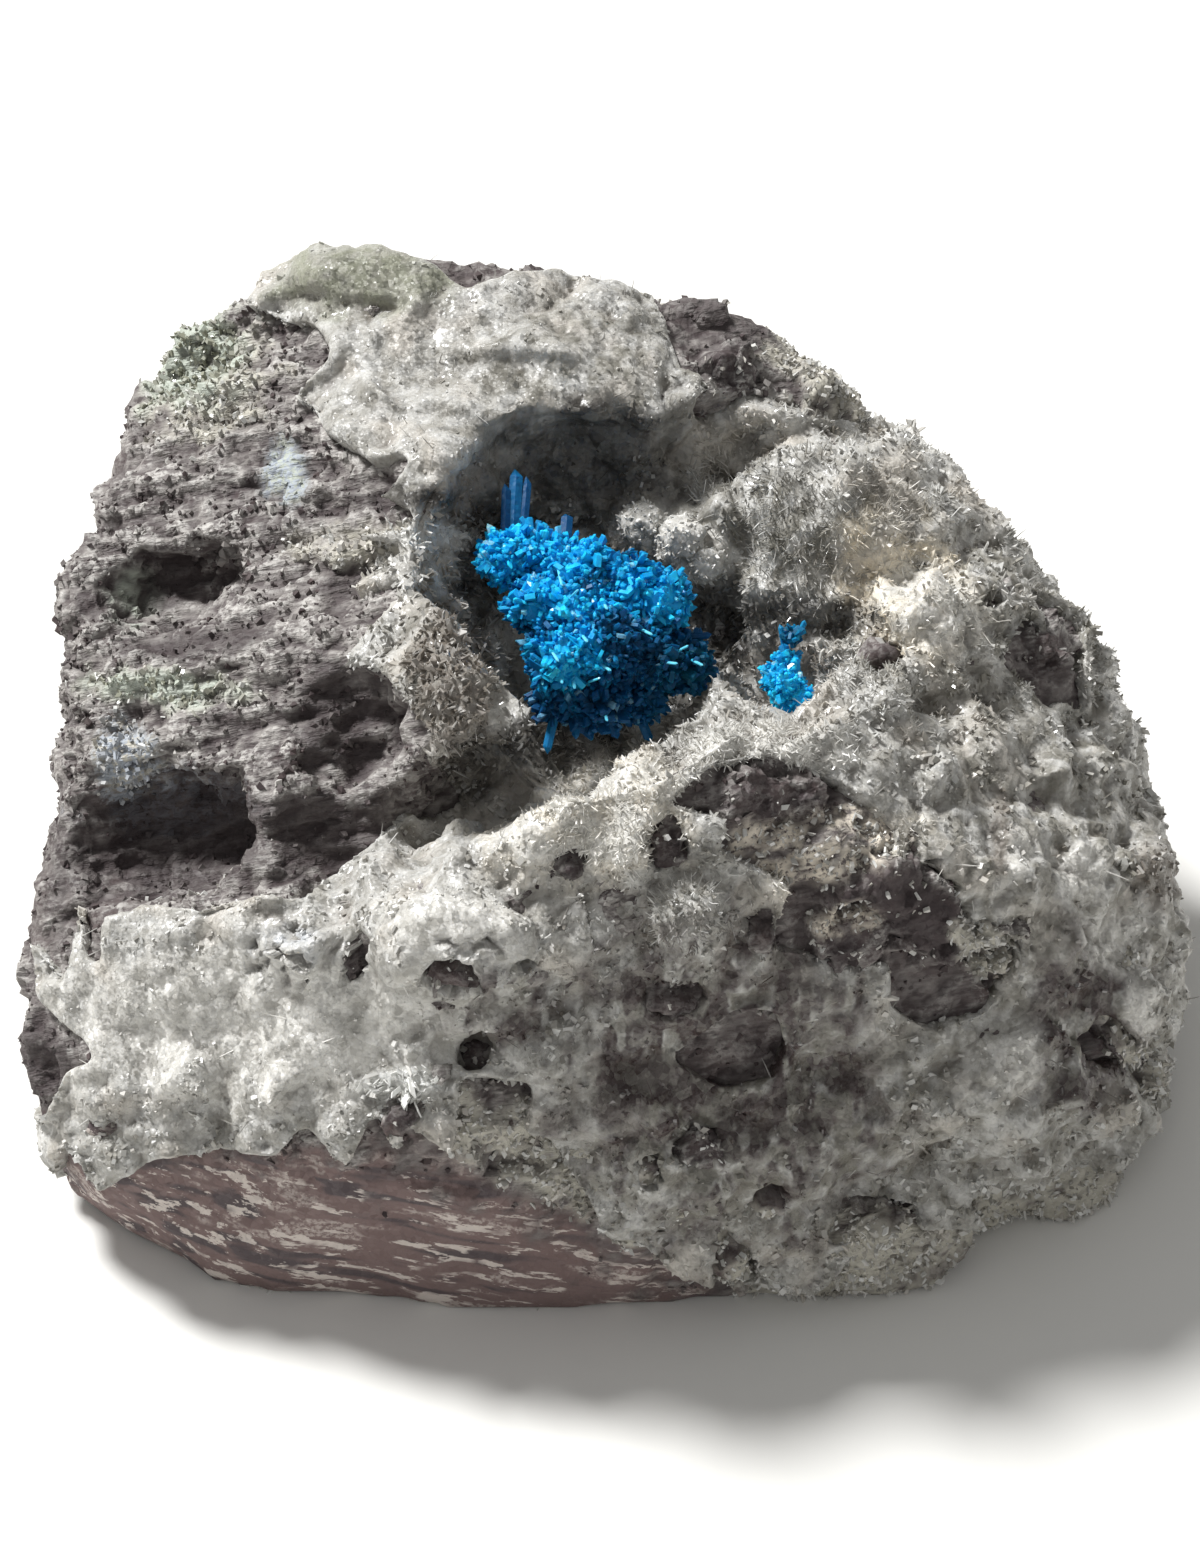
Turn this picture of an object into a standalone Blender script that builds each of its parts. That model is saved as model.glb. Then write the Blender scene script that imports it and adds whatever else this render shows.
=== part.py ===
# Raw cavansite: a broken block of basalt with a hollow lined by stilbite,
# and two clusters of blue cavansite crystals growing in it.
# Metres, +Z up. The block rests on its flat underside at z = 0, and its
# looked-at side faces -Y and upwards.

import math
import random

import bmesh
import bpy
import numpy as np
from mathutils import Matrix, Vector, noise
from mathutils.bvhtree import BVHTree

MM = 0.001

# Driving dimensions.
GAP = 0.35 * MM                 # air between pieces that touch
ROCK_VOXEL = 0.8 * MM           # spacing of the points that the relief moves
ROCK_TRIANGLES = 2400
CRUST_THICKNESS = 0.8 * MM
CRYSTAL_LENGTH = (0.6 * MM, 1.3 * MM)
CRYSTAL_SHARE = 0.7             # chance that a free face of the crust carries a crystal

# The specimen is looked at from this far above the horizon. Places on its
# face are given as (across, up) on the plane square to that look.
LOOK_TILT = math.radians(50)
ACROSS = Vector((1, 0, 0))
UP = Vector((0, math.sin(LOOK_TILT), math.cos(LOOK_TILT)))
TOWARD = Vector((0, -math.cos(LOOK_TILT), math.sin(LOOK_TILT)))
FACE_CENTRE = Vector((0, 12.8 * MM, 0))

# Corners of the broken block that show from the front, in mm:
# across and up on the face, then height above the ground.
FACE_CORNERS = (
    (-24.8, 24.2, 27), (-19.6, 27.2, 31), (-16.1, 28.9, 33), (-11.6, 28.9, 34),
    (-3.1, 28.3, 34), (0.0, 27.2, 33), (7.8, 26.2, 31), (13.1, 22.9, 28),
    (17.2, 16.6, 24), (26.8, 8.0, 19), (27.4, 3.8, 17), (31.4, -6.6, 12),
    (31.6, -12.4, 9), (-27.0, 20.9, 26), (-27.9, 15.3, 26), (-29.2, 9.8, 25),
    (-29.4, -1.3, 21), (-31.0, -12.4, 14), (-32.6, -15.8, 11), (-30.3, -19.6, 9),
    (-26.1, -24.6, 2.5), (-20.5, -28.0, 1), (-8.3, -29.7, 0), (8.3, -28.9, 0),
    (18.2, -28.7, 0), (28.6, -22.9, 2), (30.2, -18.2, 3), (-2.2, -0.4, 32),
    (5.5, -1.2, 31), (15.5, -4.6, 27), (22.0, -5.6, 23), (-11.1, -8.5, 23),
    (-14.4, -21.6, 12), (2.2, -25.7, 6.5), (8.0, -27.1, 3),
)

# Corners at the back and underneath, x, y and z in mm.
BACK_CORNERS = (
    (-25, 19, -3), (-10, 24, -3), (8, 23, -3), (22, 14, -3), (30, 2, -3),
    (31, -9, -3), (29, -18, -3), (18, -24, -3), (-8, -25, -3), (-21, -23, -3),
    (-28, -18, -3), (-29, -2, -3), (-15, 26, 14), (4, 25, 15), (17, 20, 12),
    (-29, 12, 12), (30, 5, 8),
)

# Hollows: place on the face, half-sizes across, up and inwards, how deep the
# centre lies, all in mm, then the roll in degrees.
HOLLOWS = {
    "vug_main": (-0.6, 11.0, 9.4, 10.9, 11.0, 3.0, 0),
    "vug_right": (9.0, 8.0, 8.0, 3.8, 8.0, 3.0, -8),
    "vug_left": (-6.4, -1.2, 8.4, 3.5, 9.0, 2.6, 27),
    "vug_upper_right": (10.5, 15.0, 9.0, 5.5, 7.0, 1.5, -28),
    "left_upper_pocket": (-24.2, 10.6, 4.4, 2.7, 4.0, 0.5, 8),
    "left_slot": (-12.9, 11.3, 3.0, 1.1, 2.6, 0.0, 14),
    "left_middle_pocket": (-13.6, 2.0, 3.4, 3.9, 3.2, 0.5, 10),
    "left_lower_pocket": (-24.2, -3.4, 6.4, 4.0, 5.0, 0.4, 8),
    "left_lower_right": (-14.4, -4.0, 5.2, 3.4, 4.0, 0.0, -14),
    "corner_pocket": (-23.0, 22.6, 2.0, 2.4, 2.2, 0.0, 0),
    "slope_slit": (-14.0, -9.8, 0.8, 1.9, 1.6, 0.0, 0),
    "front_pocket": (-6.8, -14.8, 2.3, 1.7, 2.4, 0.0, 0),
    "right_pocket": (17.6, 4.6, 2.0, 3.4, 2.6, 0.0, 20),
    "foot_notch": (22.4, -27.0, 4.0, 2.2, 5.0, 0.0, 26),
    "ridge_dip": (8.6, -3.6, 2.6, 1.2, 1.2, 0.0, -10),
    "bottom_notch": (7.6, -27.4, 1.3, 2.2, 1.6, 0.0, -20),
    "back_left_pit": (-27.5, 27.5, 3.2, 2.4, 2.4, 0.0, 0),
}

# Lumps: place on the face, half-sizes across and up, height, in mm.
LUMPS = {
    "top_dome": (-12.8, 27.4, 4.6, 2.6, 1.1),
    "left_wall_upper": (-8.0, 11.6, 2.3, 2.2, 1.4),
    "left_wall_lower": (-8.4, 5.2, 2.8, 2.9, 1.8),
    "rough_mass": (14.6, 6.0, 4.8, 2.9, 2.0),
    "ridge_crest": (-1.8, -0.9, 2.2, 1.6, 1.2),
    "ridge_right": (10.6, 1.4, 7.5, 2.2, 1.2),
    "ridge_block": (-7.6, -8.6, 5.4, 2.4, 2.0),
    "front_ball": (4.9, -7.6, 2.1, 2.1, 1.5),
    "front_left_rib": (-7.4, -18.4, 4.0, 3.0, 1.2),
    "right_shoulder": (28.0, -5.4, 3.6, 3.2, 1.5),
    "right_lump": (29.0, -11.0, 3.2, 4.0, 1.6),
    "right_low_lump": (23.0, -17.4, 4.8, 4.6, 2.0),
    "front_low_lump": (10.0, -20.0, 4.6, 3.6, 1.2),
    "bottom_left_lump": (4.4, -22.4, 3.6, 3.4, 1.3),
    "bottom_lump": (16.4, -26.4, 4.2, 2.4, 1.1),
    "upper_right_bank": (12.6, 21.6, 5.0, 2.0, 1.0),
    "right_bank": (20.6, 8.2, 4.2, 3.2, 1.6),
    "far_right_bank": (26.0, 6.0, 3.0, 2.6, 1.0),
    "vug_lip": (-8.6, 16.6, 3.2, 2.6, 0.9),
}

# Balls that the stilbite coats in the hollow:
# place on the face, radius and how deep the centre lies, in mm.
BALLS = (
    (13.0, 13.4, 5.4, 4.6),
    (2.6, 14.0, 2.2, 9.6),
    (5.6, 12.6, 2.6, 8.6),
    (11.4, 9.4, 2.2, 6.6),
)

# Where stilbite covers the basalt: place on the face, half-sizes, in mm, roll.
CRUST_ZONES = (
    (-0.5, 9.0, 11.6, 13.6, 0),
    (14.5, 9.5, 14.5, 9.2, -32),
    (-5.0, 21.5, 10.5, 5.8, 0),
    (-12.0, 26.6, 6.6, 3.4, 0),
    (24.5, -6.0, 11.5, 16.0, 0),
    (10.0, -19.0, 12.5, 8.5, 0),
    (-18.0, -13.8, 18.0, 7.2, 8),
    (-7.5, -8.2, 12.0, 6.2, 24),
    (9.0, 1.0, 11.0, 5.0, -6),
    (2.0, -12.0, 8.5, 9.5, 0),
)

# Where bare basalt shows through the stilbite.
BARE_ZONES = (
    (9.4, -1.6, 4.0, 2.0, -12),
    (16.4, -8.4, 6.6, 3.2, -30),
    (-14.0, 2.0, 4.6, 5.0, 10),
    (-22.5, -3.4, 8.6, 4.4, 6),
    (-31.5, -15.6, 2.8, 3.0, 0),
    (12.0, 25.0, 8.0, 2.2, -14),
    (24.6, 6.4, 2.2, 2.6, 0),
    (15.0, -24.0, 2.6, 2.0, 0),
    (7.2, -14.6, 2.0, 2.6, 0),
    (-12.0, -28.4, 26.0, 5.0, -11),
)

# Behind and below the clusters the crust stays low, with no crystal on it.
LOW_ZONES = (
    (0.0, 7.0, 7.6, 7.2, 0),
    (10.4, 5.2, 3.0, 3.6, 0),
    (-4.6, 15.4, 3.2, 4.6, 0),
)
LOWEST_CRUST = 0.6 * MM         # stilbite ends this far above the ground

# Lobes of the main cavansite cluster: place on the face, radius, and how far
# each stands in front of the cluster's middle, in mm.
CLUSTER_LOBES = (
    (-4.4, 11.4, 2.0, -0.9),
    (-2.6, 11.2, 1.7, -0.7),
    (-0.8, 10.9, 2.2, -0.4),
    (2.8, 9.5, 2.4, -0.2),
    (-1.2, 7.4, 3.2, 0.9),
    (3.6, 6.9, 2.3, -0.5),
    (-0.6, 4.4, 2.4, 0.2),
)
CLUSTER_DEPTH = 6.4 * MM        # from the broken face to the cluster's middle
# Single long crystals: root and tip, each across, up and in front of the
# cluster's middle, then the width, in mm.
CLUSTER_NEEDLES = (
    ((-4.4, 11.6, -1.2), (-4.8, 17.2, -3.4), 1.3),
    ((-2.2, 11.4, -1.2), (-1.9, 14.6, -3.4), 0.9),
    ((-5.0, 11.8, -0.9), (-6.0, 13.8, -0.8), 0.5),
    ((-2.2, 5.0, 0.2), (-3.0, 2.2, 0.4), 0.8),
    ((0.4, 4.4, 0.0), (1.8, 2.5, -0.6), 0.8),
    ((4.0, 7.1, -0.5), (6.3, 6.9, -0.5), 0.8),
)
SMALL_LOBES = (
    (10.3, 5.2, 1.45, 0.4),
    (10.5, 7.5, 0.8, 0.6),
    (11.3, 4.2, 0.9, 0.6),
    (10.4, 6.5, 0.8, 0.4),
)
SMALL_HEIGHT = 2.5              # mm from the stone to its middle
SMALL_LOBE = 1.8 * MM           # lobes under this radius carry fewer crystals
LOBE_CORE = 0.72                # the core's share of a lobe's radius

SEED = 11
dice = random.Random(SEED)


def clear_scene():
    for old in list(bpy.data.objects):
        bpy.data.objects.remove(old)


def new_collection(name, drawn=True):
    group = bpy.data.collections.new(name)
    group.hide_render = not drawn
    bpy.context.scene.collection.children.link(group)
    return group


def finish_material(name, colour, roughness):
    material = bpy.data.materials.new(name)
    material.use_nodes = True
    shader = material.node_tree.nodes["Principled BSDF"]
    shader.inputs["Base Color"].default_value = (*colour, 1)
    shader.inputs["Roughness"].default_value = roughness
    shader.inputs["Metallic"].default_value = 0
    return material


def add_object(name, mesh, group, material=None):
    obj = bpy.data.objects.new(name, mesh)
    group.objects.link(obj)
    if material:
        obj.data.materials.clear()
        obj.data.materials.append(material)
    return obj


def mesh_from(bm, name):
    mesh = bpy.data.meshes.new(name)
    bm.to_mesh(mesh)
    bm.free()
    return mesh


def apply_modifiers(obj):
    """The object's mesh with its modifiers worked in."""
    bpy.context.view_layer.update()
    graph = bpy.context.evaluated_depsgraph_get()
    mesh = bpy.data.meshes.new_from_object(obj.evaluated_get(graph))
    obj.modifiers.clear()
    obj.data = mesh


def face_point(across, up, height):
    """The point at this place on the face and this height above the ground, in mm."""
    y = (up - height * math.cos(LOOK_TILT)) / math.sin(LOOK_TILT)
    return Vector((across * MM, y * MM, height * MM)) + FACE_CENTRE


def face_place(points):
    """Across and up on the face, in mm, of an array of points."""
    moved = points - np.array(FACE_CENTRE)
    return moved @ np.array(ACROSS) / MM, moved @ np.array(UP) / MM


def tree_of(obj):
    bm = bmesh.new()
    bm.from_mesh(obj.data)
    tree = BVHTree.FromBMesh(bm)
    bm.free()
    return tree


def surface_point(tree, across, up, depth):
    """The point this deep, in mm, under the surface at this place on the face."""
    start = FACE_CENTRE + ACROSS * across * MM + UP * up * MM + TOWARD * 100 * MM
    hit = tree.ray_cast(start, -TOWARD)[0]
    if hit is None:
        hit = FACE_CENTRE + ACROSS * across * MM + UP * up * MM
    return hit - TOWARD * depth * MM


def face_frame(centre, roll=0.0):
    """A matrix at centre whose X, Y and Z run across, up and toward the eye."""
    turn = Matrix((ACROSS, UP, TOWARD)).transposed().to_4x4()
    return Matrix.Translation(centre) @ turn @ Matrix.Rotation(roll, 4, "Z")


def add_ball(name, group, centre, sizes, roll=0.0):
    """An ellipsoid whose half-sizes run across, up and toward the eye."""
    bm = bmesh.new()
    bmesh.ops.create_uvsphere(bm, u_segments=24, v_segments=14, radius=1)
    bmesh.ops.scale(bm, vec=[size * MM for size in sizes], verts=bm.verts)
    bm.transform(face_frame(centre, roll))
    obj = add_object(name, mesh_from(bm, name), group)
    obj.display_type = "WIRE"
    return obj


def join_by_boolean(obj, operation, group, self_crossing=False):
    cut = obj.modifiers.new(operation.lower(), "BOOLEAN")
    cut.operation = operation
    cut.operand_type = "COLLECTION"
    cut.collection = group
    cut.solver = "EXACT"
    cut.use_self = self_crossing


def point_array(mesh):
    points = np.empty(len(mesh.vertices) * 3, np.float32)
    mesh.vertices.foreach_get("co", points)
    return points.reshape(-1, 3).astype(float)


def normal_array(mesh):
    normals = np.empty(len(mesh.vertices) * 3, np.float32)
    mesh.vertex_normals.foreach_get("vector", normals)
    return normals.reshape(-1, 3).astype(float)


def set_points(mesh, points):
    mesh.vertices.foreach_set("co", points.astype(np.float32).ravel())
    mesh.update()


def ellipse_reach(across, up, zone):
    """1 at the middle of an oval on the face, 0 on its edge, negative outside."""
    centre_a, centre_u, half_a, half_u, roll = zone
    turn = math.radians(roll)
    x = (across - centre_a) * math.cos(turn) + (up - centre_u) * math.sin(turn)
    y = (up - centre_u) * math.cos(turn) - (across - centre_a) * math.sin(turn)
    return 1 - np.hypot(x / half_a, y / half_u)


def lump_height(across, up):
    """How far the rounded lumps stand out, in mm."""
    height = np.zeros_like(across)
    for centre_a, centre_u, half_a, half_u, tall in LUMPS.values():
        reach = ellipse_reach(across, up, (centre_a, centre_u, half_a, half_u, 0))
        dome = np.sqrt(np.clip(reach * (2 - reach), 0, 1))
        height = np.maximum(height, tall * np.where(reach > 0, dome, 0))
    return height


def roughness_at(point, across, up):
    """The broken stone's own unevenness at a point, in mm."""
    coarse = noise.fractal(point / (9 * MM), 0.9, 2.1, 4)
    pits = noise.noise(point / (2.6 * MM) + Vector((7, 3, 1)))
    ledge = noise.noise(Vector((across / 14, (up - 0.2 * across) / 1.5, 4.5)))
    on_left = min(max((-8 - across) / 6, 0), 1) * min(max((up + 6) / 6, 0), 1)
    return 0.75 * coarse - 0.5 * max(pits - 0.12, 0) + 0.75 * ledge * on_left


def shape_stone(obj):
    """Moves the surface by the lumps and by the stone's own roughness."""
    points, normals = point_array(obj.data), normal_array(obj.data)
    across, up = face_place(points)
    facing = np.clip(normals @ np.array(TOWARD) * 1.6, 0, 1)
    outward = normals + facing[:, None] * np.array(TOWARD)
    outward /= np.linalg.norm(outward, axis=1)[:, None]
    moved = lump_height(across, up) * facing
    rough = [roughness_at(Vector(p), a, u) for p, a, u in zip(points, across, up)]
    points += outward * ((moved + np.array(rough)) * MM)[:, None]
    set_points(obj.data, points)


def cut_flat(obj):
    """Leaves what is above the ground, with a flat face under it."""
    bm = bmesh.new()
    bm.from_mesh(obj.data)
    everything = bm.verts[:] + bm.edges[:] + bm.faces[:]
    cut = bmesh.ops.bisect_plane(bm, geom=everything, plane_co=(0, 0, 0),
                                 plane_no=(0, 0, -1), clear_outer=True)
    rim = [item for item in cut["geom_cut"] if isinstance(item, bmesh.types.BMEdge)]
    bmesh.ops.contextual_create(bm, geom=rim)
    bmesh.ops.triangulate(bm, faces=bm.faces[:])
    bmesh.ops.recalc_face_normals(bm, faces=bm.faces[:])
    bm.to_mesh(obj.data)
    bm.free()


def build_stone(parts, cutters, balls, material):
    """The block of basalt: a hull of its corners, hollowed, then roughened."""
    bm = bmesh.new()
    corners = [face_point(*corner) for corner in FACE_CORNERS]
    corners += [Vector(corner) * MM for corner in BACK_CORNERS]
    for corner in corners:
        bm.verts.new(corner)
    bmesh.ops.convex_hull(bm, input=bm.verts)
    loose = [v for v in bm.verts if not v.link_faces]
    bmesh.ops.delete(bm, geom=loose, context="VERTS")
    stone = add_object("basalt_matrix", mesh_from(bm, "basalt_matrix"), parts, material)
    tree = tree_of(stone)
    for name, (across, up, *sizes, depth, roll) in HOLLOWS.items():
        centre = surface_point(tree, across, up, depth)
        add_ball(name, cutters, centre, sizes, math.radians(roll))
    for number, (across, up, radius, depth) in enumerate(BALLS, 1):
        centre = surface_point(tree, across, up, depth)
        add_ball(f"ball_{number}", balls, centre, [radius] * 3)
    join_by_boolean(stone, "DIFFERENCE", cutters)
    join_by_boolean(stone, "UNION", balls)
    grid = stone.modifiers.new("even points", "REMESH")
    grid.mode = "VOXEL"
    grid.voxel_size = ROCK_VOXEL
    soften = stone.modifiers.new("worn edges", "SMOOTH")
    soften.factor = 0.5
    soften.iterations = 5
    apply_modifiers(stone)
    shape_stone(stone)
    fewer = stone.modifiers.new("fewer faces", "DECIMATE")
    fewer.ratio = ROCK_TRIANGLES / (2 * len(stone.data.polygons))
    apply_modifiers(stone)
    cut_flat(stone)
    return stone, tree


def crust_cover(across, up):
    """Positive where stilbite covers the stone."""
    cover = np.full_like(across, -9.0)
    for zone in CRUST_ZONES:
        cover = np.maximum(cover, ellipse_reach(across, up, zone))
    for zone in BARE_ZONES:
        cover = np.minimum(cover, -ellipse_reach(across, up, zone))
    return cover


def keep_largest_sheet(bm):
    """Leaves the largest sheet of joined faces."""
    left = set(bm.faces)
    sheets = []
    while left:
        sheet, edge = set(), [left.pop()]
        while edge:
            face = edge.pop()
            sheet.add(face)
            near = {f for e in face.edges for f in e.link_faces} & left
            left -= near
            edge.extend(near)
        sheets.append(sheet)
    largest = max(sheets, key=len)
    spare = [f for sheet in sheets if sheet is not largest for f in sheet]
    bmesh.ops.delete(bm, geom=spare, context="FACES")


def drop_pinches(bm):
    """Leaves no two parts of an open sheet that meet at a point only."""
    pinched = True
    while pinched:
        pinched = [v for v in bm.verts if sum(e.is_boundary for e in v.link_edges) > 2]
        bmesh.ops.delete(bm, geom=pinched, context="VERTS")


def keep_outer_skin(obj):
    """Drops chips and sealed pockets that a join or a cut leaves behind."""
    bm = bmesh.new()
    bm.from_mesh(obj.data)
    keep_largest_sheet(bm)
    bm.to_mesh(obj.data)
    bm.free()


def crust_sheet(stone):
    """The stone's own faces that stilbite covers, lifted clear of it by the gap."""
    bm = bmesh.new()
    bm.from_mesh(stone.data)
    middles = np.array([f.calc_center_median() for f in bm.faces])
    facing = np.array([f.normal.dot(TOWARD) for f in bm.faces])
    above = middles[:, 2] > 3 * LOWEST_CRUST
    wanted = (crust_cover(*face_place(middles)) > 0) & (facing > -0.35) & above
    bare = [f for f, take in zip(bm.faces[:], wanted) if not take]
    bmesh.ops.delete(bm, geom=bare, context="FACES")
    drop_pinches(bm)
    keep_largest_sheet(bm)
    lifts = {v: v.normal.copy() for v in bm.verts}
    for vert, lift in lifts.items():
        vert.co += lift * GAP
    return mesh_from(bm, "stilbite_crust")


def grow_crystals(mesh):
    """Blunt blades pushed out of the crust's upper faces, each tilted its own way."""
    bm = bmesh.new()
    bm.from_mesh(mesh)
    upper = bm.faces.layers.int.get("upper")
    places = face_place(np.array([f.calc_center_median() for f in bm.faces]))
    low = np.maximum.reduce([ellipse_reach(*places, zone) for zone in LOW_ZONES]) > 0
    picked = []
    taken = set()
    for face, is_low in zip(bm.faces[:], low):
        whole = all(f[upper] for v in face.verts for f in v.link_faces)
        near = {v.index for v in face.verts}
        if whole and not is_low and not near & taken and dice.random() < CRYSTAL_SHARE:
            picked.append(face)
            taken |= near
    grown = bmesh.ops.extrude_discrete_faces(bm, faces=picked)["faces"]
    for face in grown:
        middle = face.calc_center_median()
        tilt = Vector([dice.uniform(-0.45, 0.45) for _ in range(3)])
        push = (face.normal + tilt).normalized() * dice.uniform(*CRYSTAL_LENGTH)
        shrink = dice.uniform(0.5, 0.8)
        for vert in face.verts:
            vert.co = middle + (vert.co - middle) * shrink + push
    bmesh.ops.triangulate(bm, faces=bm.faces[:])
    bm.to_mesh(mesh)
    bm.free()


def build_crust(stone, parts, sockets, material):
    """The crust of stilbite, with its larger crystals."""
    crust = add_object("stilbite_crust", crust_sheet(stone), parts, material)
    sheet_faces = len(crust.data.polygons)
    thick = crust.modifiers.new("thickness", "SOLIDIFY")
    thick.thickness = CRUST_THICKNESS
    thick.offset = 1
    apply_modifiers(crust)
    marks = crust.data.attributes.new("upper", "INT", "FACE")
    count = len(crust.data.polygons)
    is_upper = [i < sheet_faces for i in range(count)]
    marks.data.foreach_set("value", [int(mark) for mark in is_upper])
    grow_crystals(crust.data)
    for vert in crust.data.vertices:
        vert.co.z = max(vert.co.z, LOWEST_CRUST)
    join_by_boolean(crust, "DIFFERENCE", sockets, self_crossing=True)
    apply_modifiers(crust)
    keep_outer_skin(crust)
    return crust


def spiny_ball(bm, centre, radius, away):
    """A ball with a pointed crystal on many of the faces that look away from the wall."""
    rings = 2 if radius > SMALL_LOBE else 1
    core = radius * LOBE_CORE
    made = bmesh.ops.create_icosphere(bm, subdivisions=rings, radius=core)
    verts = made["verts"]
    bmesh.ops.translate(bm, vec=centre, verts=verts)
    faces = list({f for v in verts for f in v.link_faces})
    faces.sort(key=lambda f: f.calc_center_median().to_tuple(7))
    bm.normal_update()
    for face in faces:
        if face.normal.dot(away) > 0.2 and dice.random() < 0.6:
            push_point(bm, face, radius * dice.uniform(0.2, 0.5), 0.7)


def push_point(bm, face, length, shrink):
    """Pushes a face out as a prism with a pointed end."""
    middle, normal = face.calc_center_median(), face.normal.copy()
    top = bmesh.ops.extrude_discrete_faces(bm, faces=[face])["faces"][0]
    for vert in top.verts:
        vert.co = middle + (vert.co - middle) * shrink + normal * length
    tip = bmesh.ops.poke(bm, faces=[top])["verts"][0]
    tip.co += normal * length * 0.35


def add_needle(bm, root, tip, width):
    """A six-sided prism with a pointed end, from root to tip."""
    along = tip - root
    shank = along.length
    turn = along.to_track_quat("Z", "Y").to_matrix().to_4x4()
    place = Matrix.Translation(root + along / 2) @ turn
    made = bmesh.ops.create_cone(bm, cap_ends=True, segments=6, radius1=width / 2,
                                 radius2=width * 0.4, depth=shank, matrix=place)
    ends = [f for f in {f for v in made["verts"] for f in v.link_faces}
            if len(f.verts) == 6]
    for end in ends:
        if end.normal.dot(along) > 0:
            point = bmesh.ops.poke(bm, faces=[end])["verts"][0]
            point.co += along.normalized() * width * 0.5


def union_of(pieces, name, parts, helpers, material):
    """One solid of several overlapping closed meshes."""
    first, *others = pieces
    body = add_object(name, first, parts, material)
    for number, mesh in enumerate(others, 1):
        helper = add_object(f"{name}_{number}", mesh, helpers)
        helper.display_type = "WIRE"
    join_by_boolean(body, "UNION", helpers)
    apply_modifiers(body)
    keep_outer_skin(body)
    return body


def build_cluster(stone_tree, hull_tree, parts, material):
    """The main fan of cavansite, standing on a foot on the hollow's floor."""
    helpers = new_collection("cluster shapes", drawn=False)
    middle = surface_point(hull_tree, -0.6, 7.6, 0) - TOWARD * CLUSTER_DEPTH
    floor = surface_point(stone_tree, -0.6, 7.6, 0)
    pieces = []
    bm = bmesh.new()
    reach = (middle - floor).dot(TOWARD)
    stem = face_frame(floor + TOWARD * (reach / 2 + 0.2 * MM))
    bmesh.ops.create_cone(bm, cap_ends=True, segments=10, radius1=1.6 * MM,
                          radius2=3.4 * MM, depth=reach, matrix=stem)
    pieces.append(mesh_from(bm, "stem"))
    for across, up, radius, step in CLUSTER_LOBES:
        bm = bmesh.new()
        offset = ACROSS * (across + 0.6) + UP * (up - 7.6) + TOWARD * step
        spiny_ball(bm, middle + offset * MM, radius * MM, TOWARD)
        pieces.append(mesh_from(bm, "lobe"))
    for root, tip, width in CLUSTER_NEEDLES:
        bm = bmesh.new()
        ends = [middle + (ACROSS * (a + 0.6) + UP * (u - 7.6) + TOWARD * step) * MM
                for a, u, step in (root, tip)]
        add_needle(bm, ends[0], ends[1], width * MM)
        pieces.append(mesh_from(bm, "needle"))
    return union_of(pieces, "cavansite_cluster", parts, helpers, material), floor


def small_lobe_places(anchor):
    """The middle and the radius of each lobe of the little cluster."""
    first_a, first_u = SMALL_LOBES[0][:2]
    for across, up, radius, step in SMALL_LOBES:
        offset = ACROSS * (across - first_a) + UP * (up - first_u) + TOWARD * step
        yield anchor + offset * MM, radius * MM


def build_small_cluster(anchor, parts, material):
    """The little cluster at the hollow's right-hand end."""
    helpers = new_collection("small cluster shapes", drawn=False)
    pieces = []
    for centre, radius in small_lobe_places(anchor):
        bm = bmesh.new()
        spiny_ball(bm, centre, radius, TOWARD)
        pieces.append(mesh_from(bm, "small lobe"))
    return union_of(pieces, "cavansite_small", parts, helpers, material)


def add_sockets(sockets, floor, anchor):
    """Room in the crust and the stone for the foot of each cluster."""
    add_ball("main_socket", sockets, floor + TOWARD * 0.6 * MM, (3.2, 3.2, 2.6))
    for centre, radius in small_lobe_places(anchor):
        size = (radius + GAP) / MM
        add_ball("small_socket", sockets, centre, (size, size, size * 1.5))


def centre_on_ground(objects):
    """Puts the origin under the middle of the whole specimen."""
    points = np.concatenate([point_array(obj.data) for obj in objects])
    low, high = points.min(0), points.max(0)
    shift = Vector((-(low[0] + high[0]) / 2, -(low[1] + high[1]) / 2, 0))
    for obj in objects:
        obj.data.transform(Matrix.Translation(shift))
    print("shift to the origin, mm:", [round(s / MM, 2) for s in shift])


def main():
    clear_scene()
    parts = new_collection("raw cavansite")
    cutters = new_collection("hollow cutters", drawn=False)
    balls = new_collection("coated balls", drawn=False)
    sockets = new_collection("sockets", drawn=False)
    basalt = finish_material("basalt", (0.13, 0.105, 0.1), 0.85)
    stilbite = finish_material("stilbite", (0.6, 0.57, 0.5), 0.45)
    cavansite = finish_material("cavansite", (0.0, 0.25, 0.62), 0.3)
    stone, hull_tree = build_stone(parts, cutters, balls, basalt)
    stone_tree = tree_of(stone)
    cluster, floor = build_cluster(stone_tree, hull_tree, parts, cavansite)
    anchor = surface_point(stone_tree, *SMALL_LOBES[0][:2], -SMALL_HEIGHT)
    small = build_small_cluster(anchor, parts, cavansite)
    add_sockets(sockets, floor, anchor)
    crust = build_crust(stone, parts, sockets, stilbite)
    join_by_boolean(stone, "DIFFERENCE", sockets)
    apply_modifiers(stone)
    centre_on_ground([stone, crust, cluster, small])


main()
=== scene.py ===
import math

import bmesh
import bpy
import numpy as np
from mathutils import Matrix, Vector, noise
from mathutils.bvhtree import BVHTree


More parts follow.
